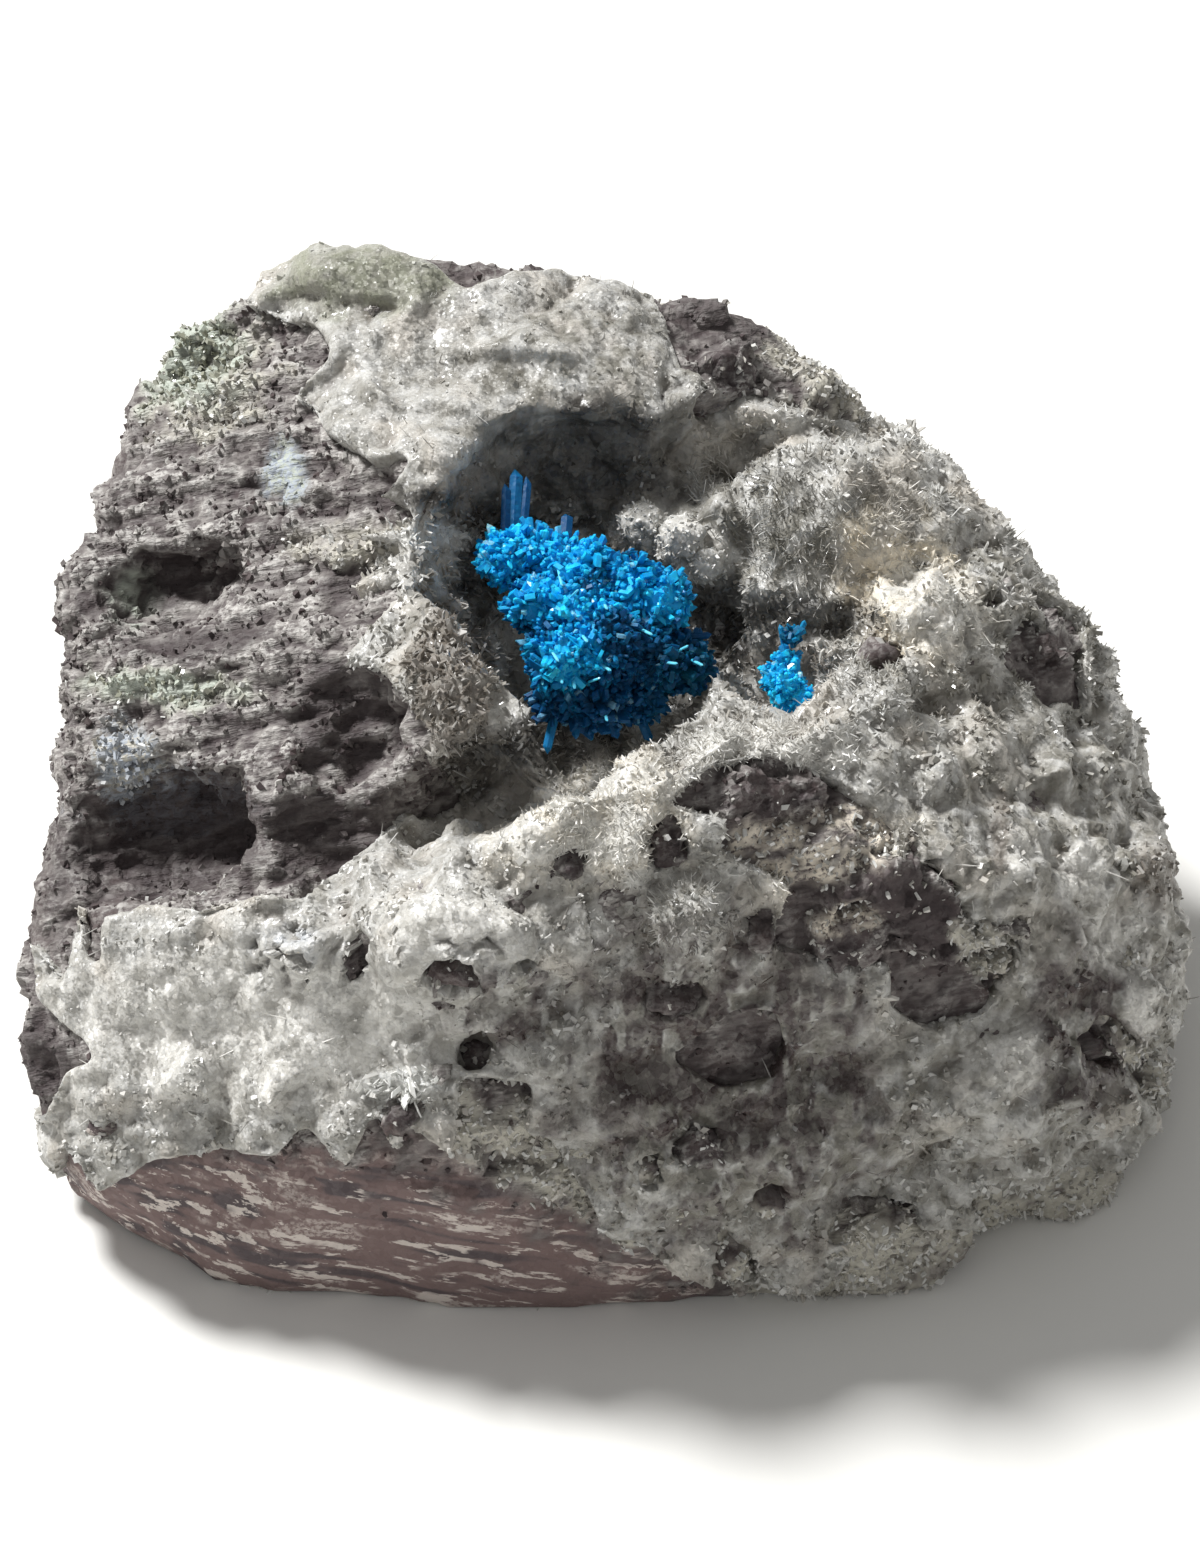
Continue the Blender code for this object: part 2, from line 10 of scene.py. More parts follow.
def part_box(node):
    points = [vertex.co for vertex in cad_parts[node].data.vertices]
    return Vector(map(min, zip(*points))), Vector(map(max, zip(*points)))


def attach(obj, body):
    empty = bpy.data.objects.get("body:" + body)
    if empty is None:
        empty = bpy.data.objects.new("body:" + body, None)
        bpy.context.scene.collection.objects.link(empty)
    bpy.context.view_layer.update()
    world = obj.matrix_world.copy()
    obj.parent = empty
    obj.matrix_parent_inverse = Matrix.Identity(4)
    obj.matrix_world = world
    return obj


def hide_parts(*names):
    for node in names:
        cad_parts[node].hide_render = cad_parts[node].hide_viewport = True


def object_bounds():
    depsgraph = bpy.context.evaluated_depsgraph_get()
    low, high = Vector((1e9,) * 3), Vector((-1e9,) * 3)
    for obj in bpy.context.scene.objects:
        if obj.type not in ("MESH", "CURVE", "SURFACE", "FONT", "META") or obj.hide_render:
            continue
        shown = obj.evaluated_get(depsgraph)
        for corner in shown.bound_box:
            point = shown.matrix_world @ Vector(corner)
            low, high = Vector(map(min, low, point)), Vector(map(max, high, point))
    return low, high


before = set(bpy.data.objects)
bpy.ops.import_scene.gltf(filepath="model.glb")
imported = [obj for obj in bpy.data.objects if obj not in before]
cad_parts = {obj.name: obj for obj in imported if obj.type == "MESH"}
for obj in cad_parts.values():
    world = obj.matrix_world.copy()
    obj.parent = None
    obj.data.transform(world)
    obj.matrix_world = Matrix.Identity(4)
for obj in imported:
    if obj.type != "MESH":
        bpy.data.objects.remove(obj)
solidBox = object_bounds()
mm = 0.001

look = {
    "tilt": 50,                     # degrees above the horizon
    "distance": 600,
    "lens": 324.6,                  # on a sensor 36 mm wide
    "foot": (-0.62, 13.48, 0),      # where the line of sight meets the ground
    "aim": 25,                      # how far up that line the camera aims
    "rake": 9,                      # degrees that the rock's layers rise to the right, as seen
}
tilt = math.radians(look["tilt"])
acrossWay = Vector((1, 0, 0))
upWay = Vector((0, math.sin(tilt), math.cos(tilt)))
towardWay = Vector((0, -math.cos(tilt), math.sin(tilt)))
aimPoint = Vector(look["foot"]) * mm + towardWay * look["aim"] * mm


# Places and masks

def seenPlaces(points):
    # across, up and toward, in mm, of an array of points as the camera sees them
    rel = (points - np.array(aimPoint)) / mm
    toward = rel @ np.array(towardWay)
    grow = look["distance"] / (look["distance"] - toward)
    return rel @ np.array(acrossWay) * grow, rel @ np.array(upWay) * grow, toward


def placeSeen(a, u, toward):
    # the point that the camera sees at this place, this far in front of the aim
    shrink = (look["distance"] - toward) / look["distance"]
    return aimPoint + (acrossWay * a * shrink + upWay * u * shrink + towardWay * toward) * mm


def ovalReach(a, u, oval):
    # 1 in the middle of an oval, 0 on its rim, negative outside
    midA, midU, halfA, halfU, roll = (*oval, 0)[:5]
    turn = math.radians(roll)
    x = (a - midA) * math.cos(turn) + (u - midU) * math.sin(turn)
    y = (u - midU) * math.cos(turn) - (a - midA) * math.sin(turn)
    return 1 - np.hypot(x / halfA, y / halfU)


def ovalMask(a, u, ovals, blur=0.3, wobble=0):
    reach = np.full_like(a, -9.0)
    for oval in ovals.values():
        reach = np.maximum(reach, ovalReach(a, u, oval))
    return np.clip((reach + wobble) / blur, 0, 1)


def noiseField(points, size, octaves=3, seed=0):
    shift = Vector((seed * 3.7, seed * 1.3, seed * 5.1))
    scaled = points / (size * mm)
    return np.array([noise.fractal(Vector(p) + shift, 0.9, 2.1, octaves) for p in scaled])


def evenNoise(points, size, octaves=3, seed=0):
    return 0.5 + 0.25 * noiseField(points, size, octaves, seed)


def domeField(points, size, seed=0):
    # rounded heads side by side: 1 on top of each, less in the creases
    shift = Vector((seed * 2.3, seed * 4.1, seed * 1.9))
    near = np.array([noise.voronoi(Vector(p) + shift)[0][0] for p in points / (size * mm)])
    return 1 - np.minimum(near * near * 1.25, 1)


def facetField(points, size, seed=0):
    # the height, in mm, of flat facets that are each tilted their own way
    shift = Vector((seed * 1.1, seed * 3.3, seed * 2.9))
    half = Vector((0.5, 0.5, 0.5))
    heights = np.empty(len(points))
    for index, point in enumerate(points / (size * mm)):
        place = Vector(point) + shift
        middle = noise.voronoi(place)[1][0]
        way = noise.cell_vector(middle * 7.13) - half
        heights[index] = (place - middle).dot(way)
    return heights * size


def layerField(points, long, thin, seed=0):
    # ridges that run across the face, rising a little to the right: 1 on their crests
    a, u, toward = seenPlaces(points)
    rake = math.radians(look["rake"])
    along = a * math.cos(rake) + u * math.sin(rake)
    cross = u * math.cos(rake) - a * math.sin(rake)
    places = np.stack((along / long + seed, cross / thin, toward / (thin * 2.5)), 1)
    return np.array([1 - 2 * abs(noise.fractal(Vector(p), 0.9, 2.1, 3)) for p in places])


def domeRise(a, u, rises, wobble=0):
    # heights of rounded swells and dents, each an oval and its height in mm
    total = np.zeros_like(a)
    for *oval, height in rises.values():
        reach = np.clip(ovalReach(a, u, oval) + wobble, 0, 1)
        total += height * np.sqrt(reach * (2 - reach))
    return total


def smoothStep(x, low, high):
    t = np.clip((x - low) / (high - low), 0, 1)
    return t * t * (3 - 2 * t)


# where the rim before the fans stands lower than the solids, each an oval and its drop
rimDrops = {
    "before the fans": (1.6, 2.8, 8.0, 3.8, 20, 2.7),
    "before the small fans": (9.6, 5.0, 4.8, 3.4, 0, 2.1),
}


def facing(normals, low, high):
    return smoothStep(normals @ np.array(towardWay), low, high)


def lowerRim(points):
    a, u, toward = seenPlaces(points)
    drop = np.zeros(len(points))
    for *oval, height in rimDrops.values():
        drop = np.maximum(drop, height * smoothStep(ovalReach(a, u, oval), 0, 0.7))
    drop *= smoothStep(toward, -8, -3)
    points -= np.array(upWay) * (drop * mm)[:, None]


# Meshes

def pointArray(mesh):
    flat = np.empty(len(mesh.vertices) * 3, np.float32)
    mesh.vertices.foreach_get("co", flat)
    return flat.reshape(-1, 3).astype(float)


def normalArray(mesh):
    flat = np.empty(len(mesh.vertices) * 3, np.float32)
    mesh.vertex_normals.foreach_get("vector", flat)
    return flat.reshape(-1, 3).astype(float)


def setPoints(mesh, points):
    mesh.vertices.foreach_set("co", points.astype(np.float32).ravel())
    mesh.update()


def setMask(mesh, name, values):
    mask = mesh.attributes.get(name) or mesh.attributes.new(name, "FLOAT", "POINT")
    mask.data.foreach_set("value", np.asarray(values, np.float32))


def meshFrom(bm, name):
    mesh = bpy.data.meshes.new(name)
    bm.to_mesh(mesh)
    bm.free()
    return mesh


def addObject(name, mesh, finish=None):
    obj = bpy.data.objects.new(name, mesh)
    bpy.context.scene.collection.objects.link(obj)
    if finish:
        putOn(obj, finish)
    return obj


def putOn(obj, finish):
    obj.data.materials.clear()
    obj.data.materials.append(finish)


def bakeModifiers(obj):
    bpy.context.view_layer.update()
    graph = bpy.context.evaluated_depsgraph_get()
    mesh = bpy.data.meshes.new_from_object(obj.evaluated_get(graph))
    obj.modifiers.clear()
    obj.data = mesh


def fineCopy(node, name, voxel, smoothing):
    # an evenly meshed copy of a solid, with its facets worn off
    bm = bmesh.new()
    bm.from_mesh(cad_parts[node].data)
    bmesh.ops.remove_doubles(bm, verts=bm.verts, dist=1e-6)
    obj = addObject(name, meshFrom(bm, name))
    grid = obj.modifiers.new("even", "REMESH")
    grid.mode = "VOXEL"
    grid.voxel_size = voxel * mm
    worn = obj.modifiers.new("worn", "SMOOTH")
    worn.factor = 0.5
    worn.iterations = smoothing
    bakeModifiers(obj)
    obj.data.shade_smooth()
    return obj


def keepInBox(points, share=0.014):
    # everything stops within this share of the solids' own box
    low, high = (np.array(corner) for corner in solidBox)
    room = (high - low) * share
    np.clip(points, low - room, high + room, out=points)
    points[:, 2] = np.maximum(points[:, 2], 0)


def treeOf(mesh):
    bm = bmesh.new()
    bm.from_mesh(mesh)
    tree = BVHTree.FromBMesh(bm)
    bm.free()
    return tree


def hollowness(mesh, points, rounds):
    # how far each point lies under the surface's own average, in mm
    edges = np.empty(len(mesh.edges) * 2, np.int32)
    mesh.edges.foreach_get("vertices", edges)
    one, two = edges[0::2], edges[1::2]
    count = np.bincount(edges, minlength=len(points))[:, None]
    soft = points.copy()
    for _ in range(rounds):
        total = np.zeros_like(soft)
        for axis in range(3):
            total[:, axis] += np.bincount(one, soft[two, axis], len(points))
            total[:, axis] += np.bincount(two, soft[one, axis], len(points))
        soft = total / count
    return ((soft - points) * normalArray(mesh)).sum(1) / mm


# Nodes

class Wire:
    # a node's output that can be used in sums
    def __init__(self, maker, socket):
        self.maker, self.socket = maker, socket

    def sum(self, operation, one, two=None):
        inputs = {0: one} if two is None else {0: one, 1: two}
        return self.maker.add("ShaderNodeMath", {"operation": operation}, inputs)

    def __add__(self, other): return self.sum("ADD", self, other)
    def __radd__(self, other): return self.sum("ADD", other, self)
    def __sub__(self, other): return self.sum("SUBTRACT", self, other)
    def __rsub__(self, other): return self.sum("SUBTRACT", other, self)
    def __mul__(self, other): return self.sum("MULTIPLY", self, other)
    def __rmul__(self, other): return self.sum("MULTIPLY", other, self)
    def most(self, other): return self.sum("MAXIMUM", self, other)

    def within(self, low, high):
        # 0 up to low, 1 from high on
        settings = {"interpolation_type": "SMOOTHSTEP"}
        inputs = {"Value": self, "From Min": low, "From Max": high}
        return self.maker.add("ShaderNodeMapRange", settings, inputs)


class Maker:
    # adds nodes to one tree
    def __init__(self, tree):
        self.tree = tree
        tree.nodes.clear()

    def add(self, kind, settings=None, inputs=None, output=0):
        node = self.tree.nodes.new(kind)
        for name, value in (settings or {}).items():
            setattr(node, name, value)
        for name, value in (inputs or {}).items():
            self.feed(self.inputOf(node, name), value)
        if not node.outputs:
            return None
        if isinstance(output, int):
            return Wire(self, node.outputs[output])
        return {name: Wire(self, self.outputOf(node, name)) for name in output}

    def inputOf(self, node, name):
        if isinstance(name, int):
            return node.inputs[name]
        return next(s for s in node.inputs if s.name == name and s.enabled)

    def outputOf(self, node, name):
        return next(s for s in node.outputs if s.name == name and s.enabled)

    def feed(self, socket, value):
        if isinstance(value, Wire):
            self.tree.links.new(value.socket, socket)
        elif isinstance(value, tuple) and len(value) == 3 and socket.type == "RGBA":
            socket.default_value = (*value, 1)
        else:
            socket.default_value = value

    def mask(self, name):
        kind = "ShaderNodeAttribute"
        return self.add(kind, {"attribute_name": name}, output=("Fac",))["Fac"]

    def spot(self, size, seed=0, stretch=(1, 1, 1), turn=(0, 0, 0)):
        # Object coordinates in which a feature of this size, in mm, is 1 wide
        place = self.add("ShaderNodeTexCoord", output=("Object",))["Object"]
        if any(turn):
            place = self.add("ShaderNodeMapping", None, {"Vector": place, "Rotation": turn})
        scale = tuple(1 / (size * mm * s) for s in stretch)
        move = (seed * 1.7, seed * 0.9, seed * 2.3)
        return self.add("ShaderNodeMapping", None, {"Vector": place, "Scale": scale, "Location": move})

    def speckle(self, size, detail=3, roughness=0.6, seed=0, stretch=(1, 1, 1), turn=(0, 0, 0)):
        spot = self.spot(size, seed, stretch, turn)
        inputs = {"Vector": spot, "Scale": 1, "Detail": detail, "Roughness": roughness}
        return self.add("ShaderNodeTexNoise", None, inputs)

    def cells(self, size, seed=0):
        # distance to the nearest cell middle, 0 to about 1
        return self.add("ShaderNodeTexVoronoi", None, {"Vector": self.spot(size, seed), "Scale": 1})

    def facets(self, size, seed=0):
        # the height in mm of flat tilted facets, and a chance for each facet
        spot = self.spot(size, seed)
        inputs = {"Vector": spot, "Scale": 1}
        cell = self.add("ShaderNodeTexVoronoi", None, inputs, output=("Position", "Color"))
        subtract = {"operation": "SUBTRACT"}
        across = self.add("ShaderNodeVectorMath", subtract, {0: spot, 1: cell["Position"]})
        way = self.add("ShaderNodeVectorMath", subtract, {0: cell["Color"], 1: (0.5, 0.5, 0.5)})
        dot = {"operation": "DOT_PRODUCT"}
        height = self.add("ShaderNodeVectorMath", dot, {0: across, 1: way}, output=("Value",))["Value"]
        parts = self.add("ShaderNodeSeparateColor", None, {"Color": cell["Color"]}, output=("Red",))
        return height * size, parts["Red"]

    def blend(self, factor, one, two):
        settings = {"data_type": "RGBA", "clamp_factor": True}
        inputs = {"Factor": factor, "A": one, "B": two}
        return self.add("ShaderNodeMix", settings, inputs, output=("Result",))["Result"]

    def paint(self, tone, tones, layers):
        # each named tone over the last, as far as its factor says
        for name, factor in layers:
            tone = self.blend(factor, tone, tones[name])
        return tone

    def bump(self, height):
        # from a height in mm
        return self.add("ShaderNodeBump", None, {"Height": height, "Distance": mm, "Strength": 1})


def colour(red, green, blue):
    # a colour, 0 to 255, for the shaders
    parts = (c / 255 for c in (red, green, blue))
    return tuple(c / 12.92 if c <= 0.04045 else ((c + 0.055) / 1.055) ** 2.4 for c in parts)


def newFinish(name):
    material = bpy.data.materials.new(name)
    material.use_nodes = True
    return material, Maker(material.node_tree)


def finishWith(maker, inputs):
    shader = maker.add("ShaderNodeBsdfPrincipled", None, inputs)
    maker.add("ShaderNodeOutputMaterial", None, {"Surface": shader})


# Finishes

basaltLook = {
    "dark": colour(62, 52, 53),
    "brown": colour(80, 68, 67),
    "shadow": colour(100, 93, 92),
    "grey": colour(148, 143, 139),
    "pale": colour(198, 195, 190),
    "green": colour(180, 186, 174),
    "face": colour(124, 104, 101),
    "faceDark": colour(84, 74, 76),
    "streak": colour(214, 204, 196),
    "blueGrey": colour(164, 171, 180),
    "film": colour(184, 180, 168),
    "powder": colour(224, 214, 198),
}


def basaltTone(make, worn, dusty):
    # the colour that the block and its crumbs share
    coarse, middling, weathered = (make.mask(name) for name in ("coarse", "middling", "weathered"))
    return make.paint(basaltLook["dark"], basaltLook, (
        ("brown", coarse.within(0.38, 0.62)),
        ("shadow", weathered * worn.within(0.36, 0.46)),
        ("grey", weathered * worn.within(0.43, 0.56)),
        ("pale", make.mask("dust") * dusty.within(0.44, 0.58)),
        ("powder", make.mask("powder") * dusty.within(0.38, 0.5)),
        ("film", make.mask("film") * middling.within(0.3, 0.45)),
        ("green", make.mask("green") * middling.within(0.25, 0.45)),
        ("blueGrey", make.mask("blue") * dusty.within(0.42, 0.55)),
    ))


def basaltFinish():
    material, make = newFinish("basalt broken")
    layered = (-math.radians(90 - look["tilt"]), 0, -math.radians(look["rake"]))
    fine = make.speckle(0.3, 3, seed=3)
    dots = make.cells(0.9, seed=5)
    layers = make.speckle(0.7, 3, seed=21, stretch=(4.5, 1, 2), turn=layered)
    lines = make.speckle(0.26, 3, seed=22, stretch=(4, 1, 2), turn=layered)
    chips, chance = make.facets(0.36, seed=2)
    weathered, streaked = make.mask("weathered"), make.mask("streaked")
    worn = layers * 0.4 + lines * 0.3 + make.mask("middling") * 0.3
    slope = (0, -math.radians(look["rake"]), 0)
    flecks = make.speckle(0.8, 5, 0.68, seed=9, stretch=(4.5, 1, 1), turn=slope).within(0.545, 0.575)
    bands = make.speckle(1.5, 2, seed=14, stretch=(9, 1, 1), turn=slope)
    fibres = bands.within(0.56, 0.64) * fine.within(0.4, 0.6) * 0.55
    streaks = (flecks * make.mask("coarse").within(0.38, 0.48)).most(fibres)
    tone = make.paint(basaltTone(make, worn, fine * 0.65 + lines * 0.35), basaltLook, (
        ("face", streaked * 0.9),
        ("faceDark", streaked * bands.within(0.49, 0.4)),
        ("streak", streaked * streaks * 0.9),
        ("pale", make.mask("spotted") * (1 - dots.within(0.16, 0.3))),
        # painted shade: darker in the small pits, the pockets and the hollows
        ("dark", make.mask("pit") * 0.7),
        ("dark", make.mask("sooty") * (0.6 + 0.4 * fine)),
    ))
    height = chips * 0.55 + (lines * 0.2 + layers * 0.3) * weathered + fine * 0.06
    finishWith(make, {"Base Color": tone, "Roughness": 0.85 - chance * 0.2 - make.mask("film") * 0.3,
                      "Normal": make.bump(height)})
    return material


def crumbFinish():
    material, make = newFinish("basalt crumbs")
    chance = 0.36 + make.mask("tint") * 0.24
    # painted shade: crumbs darker in the pits, pockets and hollows
    crumbShade = make.mask("pit").most(make.mask("sooty")) * 0.8
    tone = make.blend(crumbShade, basaltTone(make, chance, chance), basaltLook["dark"])
    finishWith(make, {"Base Color": tone, "Roughness": 0.85})
    return material


stilbiteLook = {
    "light": colour(204, 203, 199),
    "warm": colour(195, 188, 177),
    "clear": colour(150, 147, 139),     # where it is glassy enough to see into
    "cream": colour(240, 229, 208),
    # pale crystals, also used as painted light on lit slopes, the ridge and the lumps
    "fair": colour(230, 228, 222),
    "olive": colour(130, 127, 118),
    # dark stains, made strong enough to also paint the shade on the steep front faces
    "stain": colour(70, 58, 57),
    "green": colour(146, 147, 130),
    "blue": colour(168, 173, 180),
    "white": colour(240, 241, 238),
    # painted shade: the ground darker in its creases, hollows and shaded places
    "deep": colour(108, 98, 88),
    "dusk": colour(54, 50, 46),         # painted shade: crystals deep in the hollows
}


def stilbiteTone(make, fine):
    # the colour that ground and crystals share, from the masks and a fine mottle
    patch, mottle, hanging, tint = (make.mask(name) for name in ("patch", "mottle", "hanging", "tint"))
    mixed = mottle * 0.5 + patch * 0.3 + fine * 0.2
    return make.paint(stilbiteLook["clear"], stilbiteLook, (
        ("light", mixed.within(0.36, 0.56)),
        ("warm", patch.within(0.5, 0.66) * 0.7),
        ("olive", make.mask("olive") * (hanging * 0.6 + mottle * 0.4).within(0.56, 0.42)),
        ("stain", make.mask("stain") * (hanging * 0.5 + patch * 0.5).within(0.43, 0.5)),
        ("green", make.mask("green") * mottle.within(0.2, 0.5)),
        ("blue", make.mask("blue") * mottle.within(0.3, 0.55)),
        ("cream", make.mask("cream") * fine.within(0.2, 0.55)),
        ("fair", make.mask("fair") * (0.45 + 0.5 * mixed.within(0.4, 0.55))),
        ("white", make.mask("white") * 0.7),
        # painted shade in the creases, hollows and shaded places, then deep in the hollows
        ("deep", make.mask("deep")),
        ("dusk", make.mask("dusk") * 0.9),
        ("white", (tint - 0.6).most(0) * 0.8),
        ("clear", (0.2 - tint).most(0)),
    ))


def groundFinish():
    material, make = newFinish("stilbite ground")
    fine = make.speckle(0.28, 3, seed=6)
    block, blockChance = make.facets(0.75, seed=12)
    facet, chance = make.facets(0.34, seed=4)
    grain, _ = make.facets(0.15, seed=8)
    uneven = blockChance.within(0.4, 1) * 0.4 + chance.within(0.5, 1) * 0.3
    tone = make.blend(uneven, stilbiteTone(make, fine), stilbiteLook["clear"])
    finishWith(make, {"Base Color": tone, "Roughness": 0.2 + fine * 0.2 + chance * 0.3, "IOR": 1.5,
                      "Coat Weight": 0.15, "Coat Roughness": 0.12, "Subsurface Weight": 0.25,
                      "Subsurface Radius": (1, 0.95, 0.85), "Subsurface Scale": 0.4 * mm,
                      "Normal": make.bump(facet * 0.6 + block * 0.4 + grain * 0.6)})
    return material


def crystalFinish():
    material, make = newFinish("stilbite crystals")
    tint = make.mask("tint")
    finishWith(make, {"Base Color": stilbiteTone(make, tint), "Roughness": 0.2 + tint * 0.3, "IOR": 1.5,
                      "Coat Weight": 0.3, "Coat Roughness": 0.12})
    return material


cavansiteLook = {
    # painted shade: the dark at the crystals' roots and on the prisms that lie in shade
    "root": colour(0, 48, 80),
    "navy": colour(0, 100, 164),
    "blue": colour(0, 168, 238),
    "azure": colour(36, 204, 255),
    # a teal tint that also paints the shade on the big fan's lower right
    "teal": colour(0, 76, 98),
    # the pale rods' colour, also used for painted highlights on a few crystal ends
    "tip": colour(158, 214, 236),
}


def cavansiteFinish():
    material, make = newFinish("cavansite glassy")
    # painted light: the lit patches of the fans are painted brighter blue and given more coat
    tip, tint, bright = make.mask("tip"), make.mask("tint"), make.mask("bright")
    fine = make.speckle(0.3, 2, seed=8)
    facet, _ = make.facets(0.22, seed=5)
    # painted highlight on a few crystal ends
    glint = tint.within(0.94, 0.99) * tip.within(0.2, 0.7)
    # each crystal painted darker towards its root as painted shade, and brighter in the lit patches as
    # painted light
    tone = make.paint(cavansiteLook["root"], cavansiteLook, (
        ("navy", tip.within(0, 0.8) * (0.3 + 0.7 * bright)),
        ("blue", bright * 0.9),
        ("azure", tint.within(0.2, 0.9) * tip.within(0, 0.6) * bright),
        ("teal", make.mask("teal") * (1 - tint) * 0.9),
        ("tip", glint * (0.35 + 0.6 * bright)),
    ))
    finishWith(make, {"Base Color": tone, "Roughness": 0.4 + fine * 0.3, "IOR": 1.54,
                      "Specular IOR Level": 0.2, "Coat Weight": bright * 0.25, "Coat Roughness": 0.15,
                      "Subsurface Weight": 0.35, "Subsurface Radius": (0.15, 0.6, 1),
                      "Subsurface Scale": 0.5 * mm, "Normal": make.bump(facet * 0.3)})
    return material


# Crystal shapes, each one long and one wide, that the scatters repeat

def shapeFrom(bm, name):
    bmesh.ops.triangulate(bm, faces=bm.faces[:])
    mesh = meshFrom(bm, name)
    setMask(mesh, "tip", [v.co.z for v in mesh.vertices])
    return mesh


def prismShape(name, sides, flat, taper, point, slant=0.0):
    bm = bmesh.new()
    stand = Matrix.Translation((0, 0, (1 - point) / 2))
    bmesh.ops.create_cone(bm, cap_ends=True, segments=sides, radius1=0.5, radius2=0.5 * taper,
                          depth=1 - point, matrix=stand)
    top = max(bm.faces, key=lambda f: f.calc_center_median().z)
    tip = bmesh.ops.poke(bm, faces=[top])["verts"][0]
    tip.co = Vector((slant * 0.5, 0, 1))
    bmesh.ops.scale(bm, vec=(1, flat, 1), verts=bm.verts)
    return shapeFrom(bm, name)


def bladeShape(name, flat, slant, wedge):
    # a block with a slanted, wedged top
    bm = bmesh.new()
    bmesh.ops.create_cube(bm, size=1, matrix=Matrix.Translation((0, 0, 0.5)))
    for vert in bm.verts:
        upper = vert.co.z > 0.5
        vert.co.y *= flat * (wedge if upper else 1)
        vert.co.z += slant * vert.co.x * upper
    return shapeFrom(bm, name)


def chunkShape(name, seed):
    # an angular crumb
    bm = bmesh.new()
    bmesh.ops.create_cube(bm, size=0.9, matrix=Matrix.Translation((0, 0, 0.3)))
    for vert in bm.verts:
        vert.co += (noise.cell_vector(vert.co * 5 + Vector((seed, 0, 0))) - Vector((0.5, 0.5, 0.5))) * 0.5
    bmesh.ops.recalc_face_normals(bm, faces=bm.faces[:])
    return shapeFrom(bm, name)


def shapeSet(name, meshes):
    group = bpy.data.collections.new(name)
    for mesh in meshes:
        group.objects.link(bpy.data.objects.new(mesh.name, mesh))
    return group


# One tree scatters crystals over any surface that has a "grow" mask

def scatterTree():
    tree = bpy.data.node_groups.new("crystals on a surface", "GeometryNodeTree")
    ports = tree.interface
    ports.new_socket("Surface", in_out="INPUT", socket_type="NodeSocketGeometry")
    kinds = {"Shapes": "Collection", "Finish": "Material", "Per square mm": "Float", "Shortest": "Float",
             "Longest": "Float", "Slimness": "Float", "Lean": "Float", "Sunk": "Float", "Seed": "Int"}
    for name, kind in kinds.items():
        ports.new_socket(name, in_out="INPUT", socket_type="NodeSocket" + kind)
    ports.new_socket("Crystals", in_out="OUTPUT", socket_type="NodeSocketGeometry")
    make = Maker(tree)
    given = make.add("NodeGroupInput", output=("Surface", *kinds))
    named = {"data_type": "FLOAT"}
    grow = make.add("GeometryNodeInputNamedAttribute", named, {"Name": "grow"})
    size = make.add("GeometryNodeInputNamedAttribute", named, {"Name": "size"})
    perMetre = given["Per square mm"] * grow * 1e6
    spread = make.add("GeometryNodeDistributePointsOnFaces", None,
                      {"Mesh": given["Surface"], "Density": perMetre, "Seed": given["Seed"]},
                      output=("Points", "Normal"))

    def dice(kind, low, high, offset):
        inputs = {"Min": low, "Max": high, "Seed": given["Seed"] + offset}
        return make.add("FunctionNodeRandomValue", {"data_type": kind}, inputs, output=("Value",))["Value"]

    def vectorSum(operation, one, two):
        inputs = {0: one, 1: two} if operation != "SCALE" else {0: one, "Scale": two}
        return make.add("ShaderNodeVectorMath", {"operation": operation}, inputs)

    toss = vectorSum("SCALE", dice("FLOAT_VECTOR", (-1, -1, -1), (1, 1, 1), 1), given["Lean"])
    way = vectorSum("ADD", spread["Normal"], toss)
    stand = make.add("FunctionNodeAlignRotationToVector", {"axis": "Z"}, {"Vector": way})
    spin = make.add("FunctionNodeAxisAngleToRotation", None,
                    {"Axis": (0, 0, 1), "Angle": dice("FLOAT", 0.0, 6.283, 2)})
    turned = make.add("FunctionNodeRotateRotation", {"rotation_space": "LOCAL"},
                      {"Rotation": stand, "Rotate By": spin})
    length = dice("FLOAT", given["Shortest"], given["Longest"], 3) * size * mm
    width = length * given["Slimness"] * dice("FLOAT", 0.6, 1.3, 4)
    scale = make.add("ShaderNodeCombineXYZ", None, {"X": width, "Y": width, "Z": length})
    sink = vectorSum("SCALE", spread["Normal"], given["Sunk"] * -mm)
    points = make.add("GeometryNodeSetPosition", None, {"Geometry": spread["Points"], "Offset": sink})
    shapes = make.add("GeometryNodeCollectionInfo", None,
                      {"Collection": given["Shapes"], "Separate Children": True, "Reset Children": True})
    grown = make.add("GeometryNodeInstanceOnPoints", None,
                     {"Points": points, "Instance": shapes, "Pick Instance": True,
                      "Rotation": turned, "Scale": scale})
    tinted = make.add("GeometryNodeStoreNamedAttribute", {"data_type": "FLOAT", "domain": "INSTANCE"},
                      {"Geometry": grown, "Name": "tint", "Value": dice("FLOAT", 0.0, 1.0, 5)})
    whole = make.add("GeometryNodeRealizeInstances", None, {"Geometry": tinted})
    finished = make.add("GeometryNodeSetMaterial", None, {"Geometry": whole, "Material": given["Finish"]})
    make.add("NodeGroupOutput", None, {"Crystals": finished})
    return tree


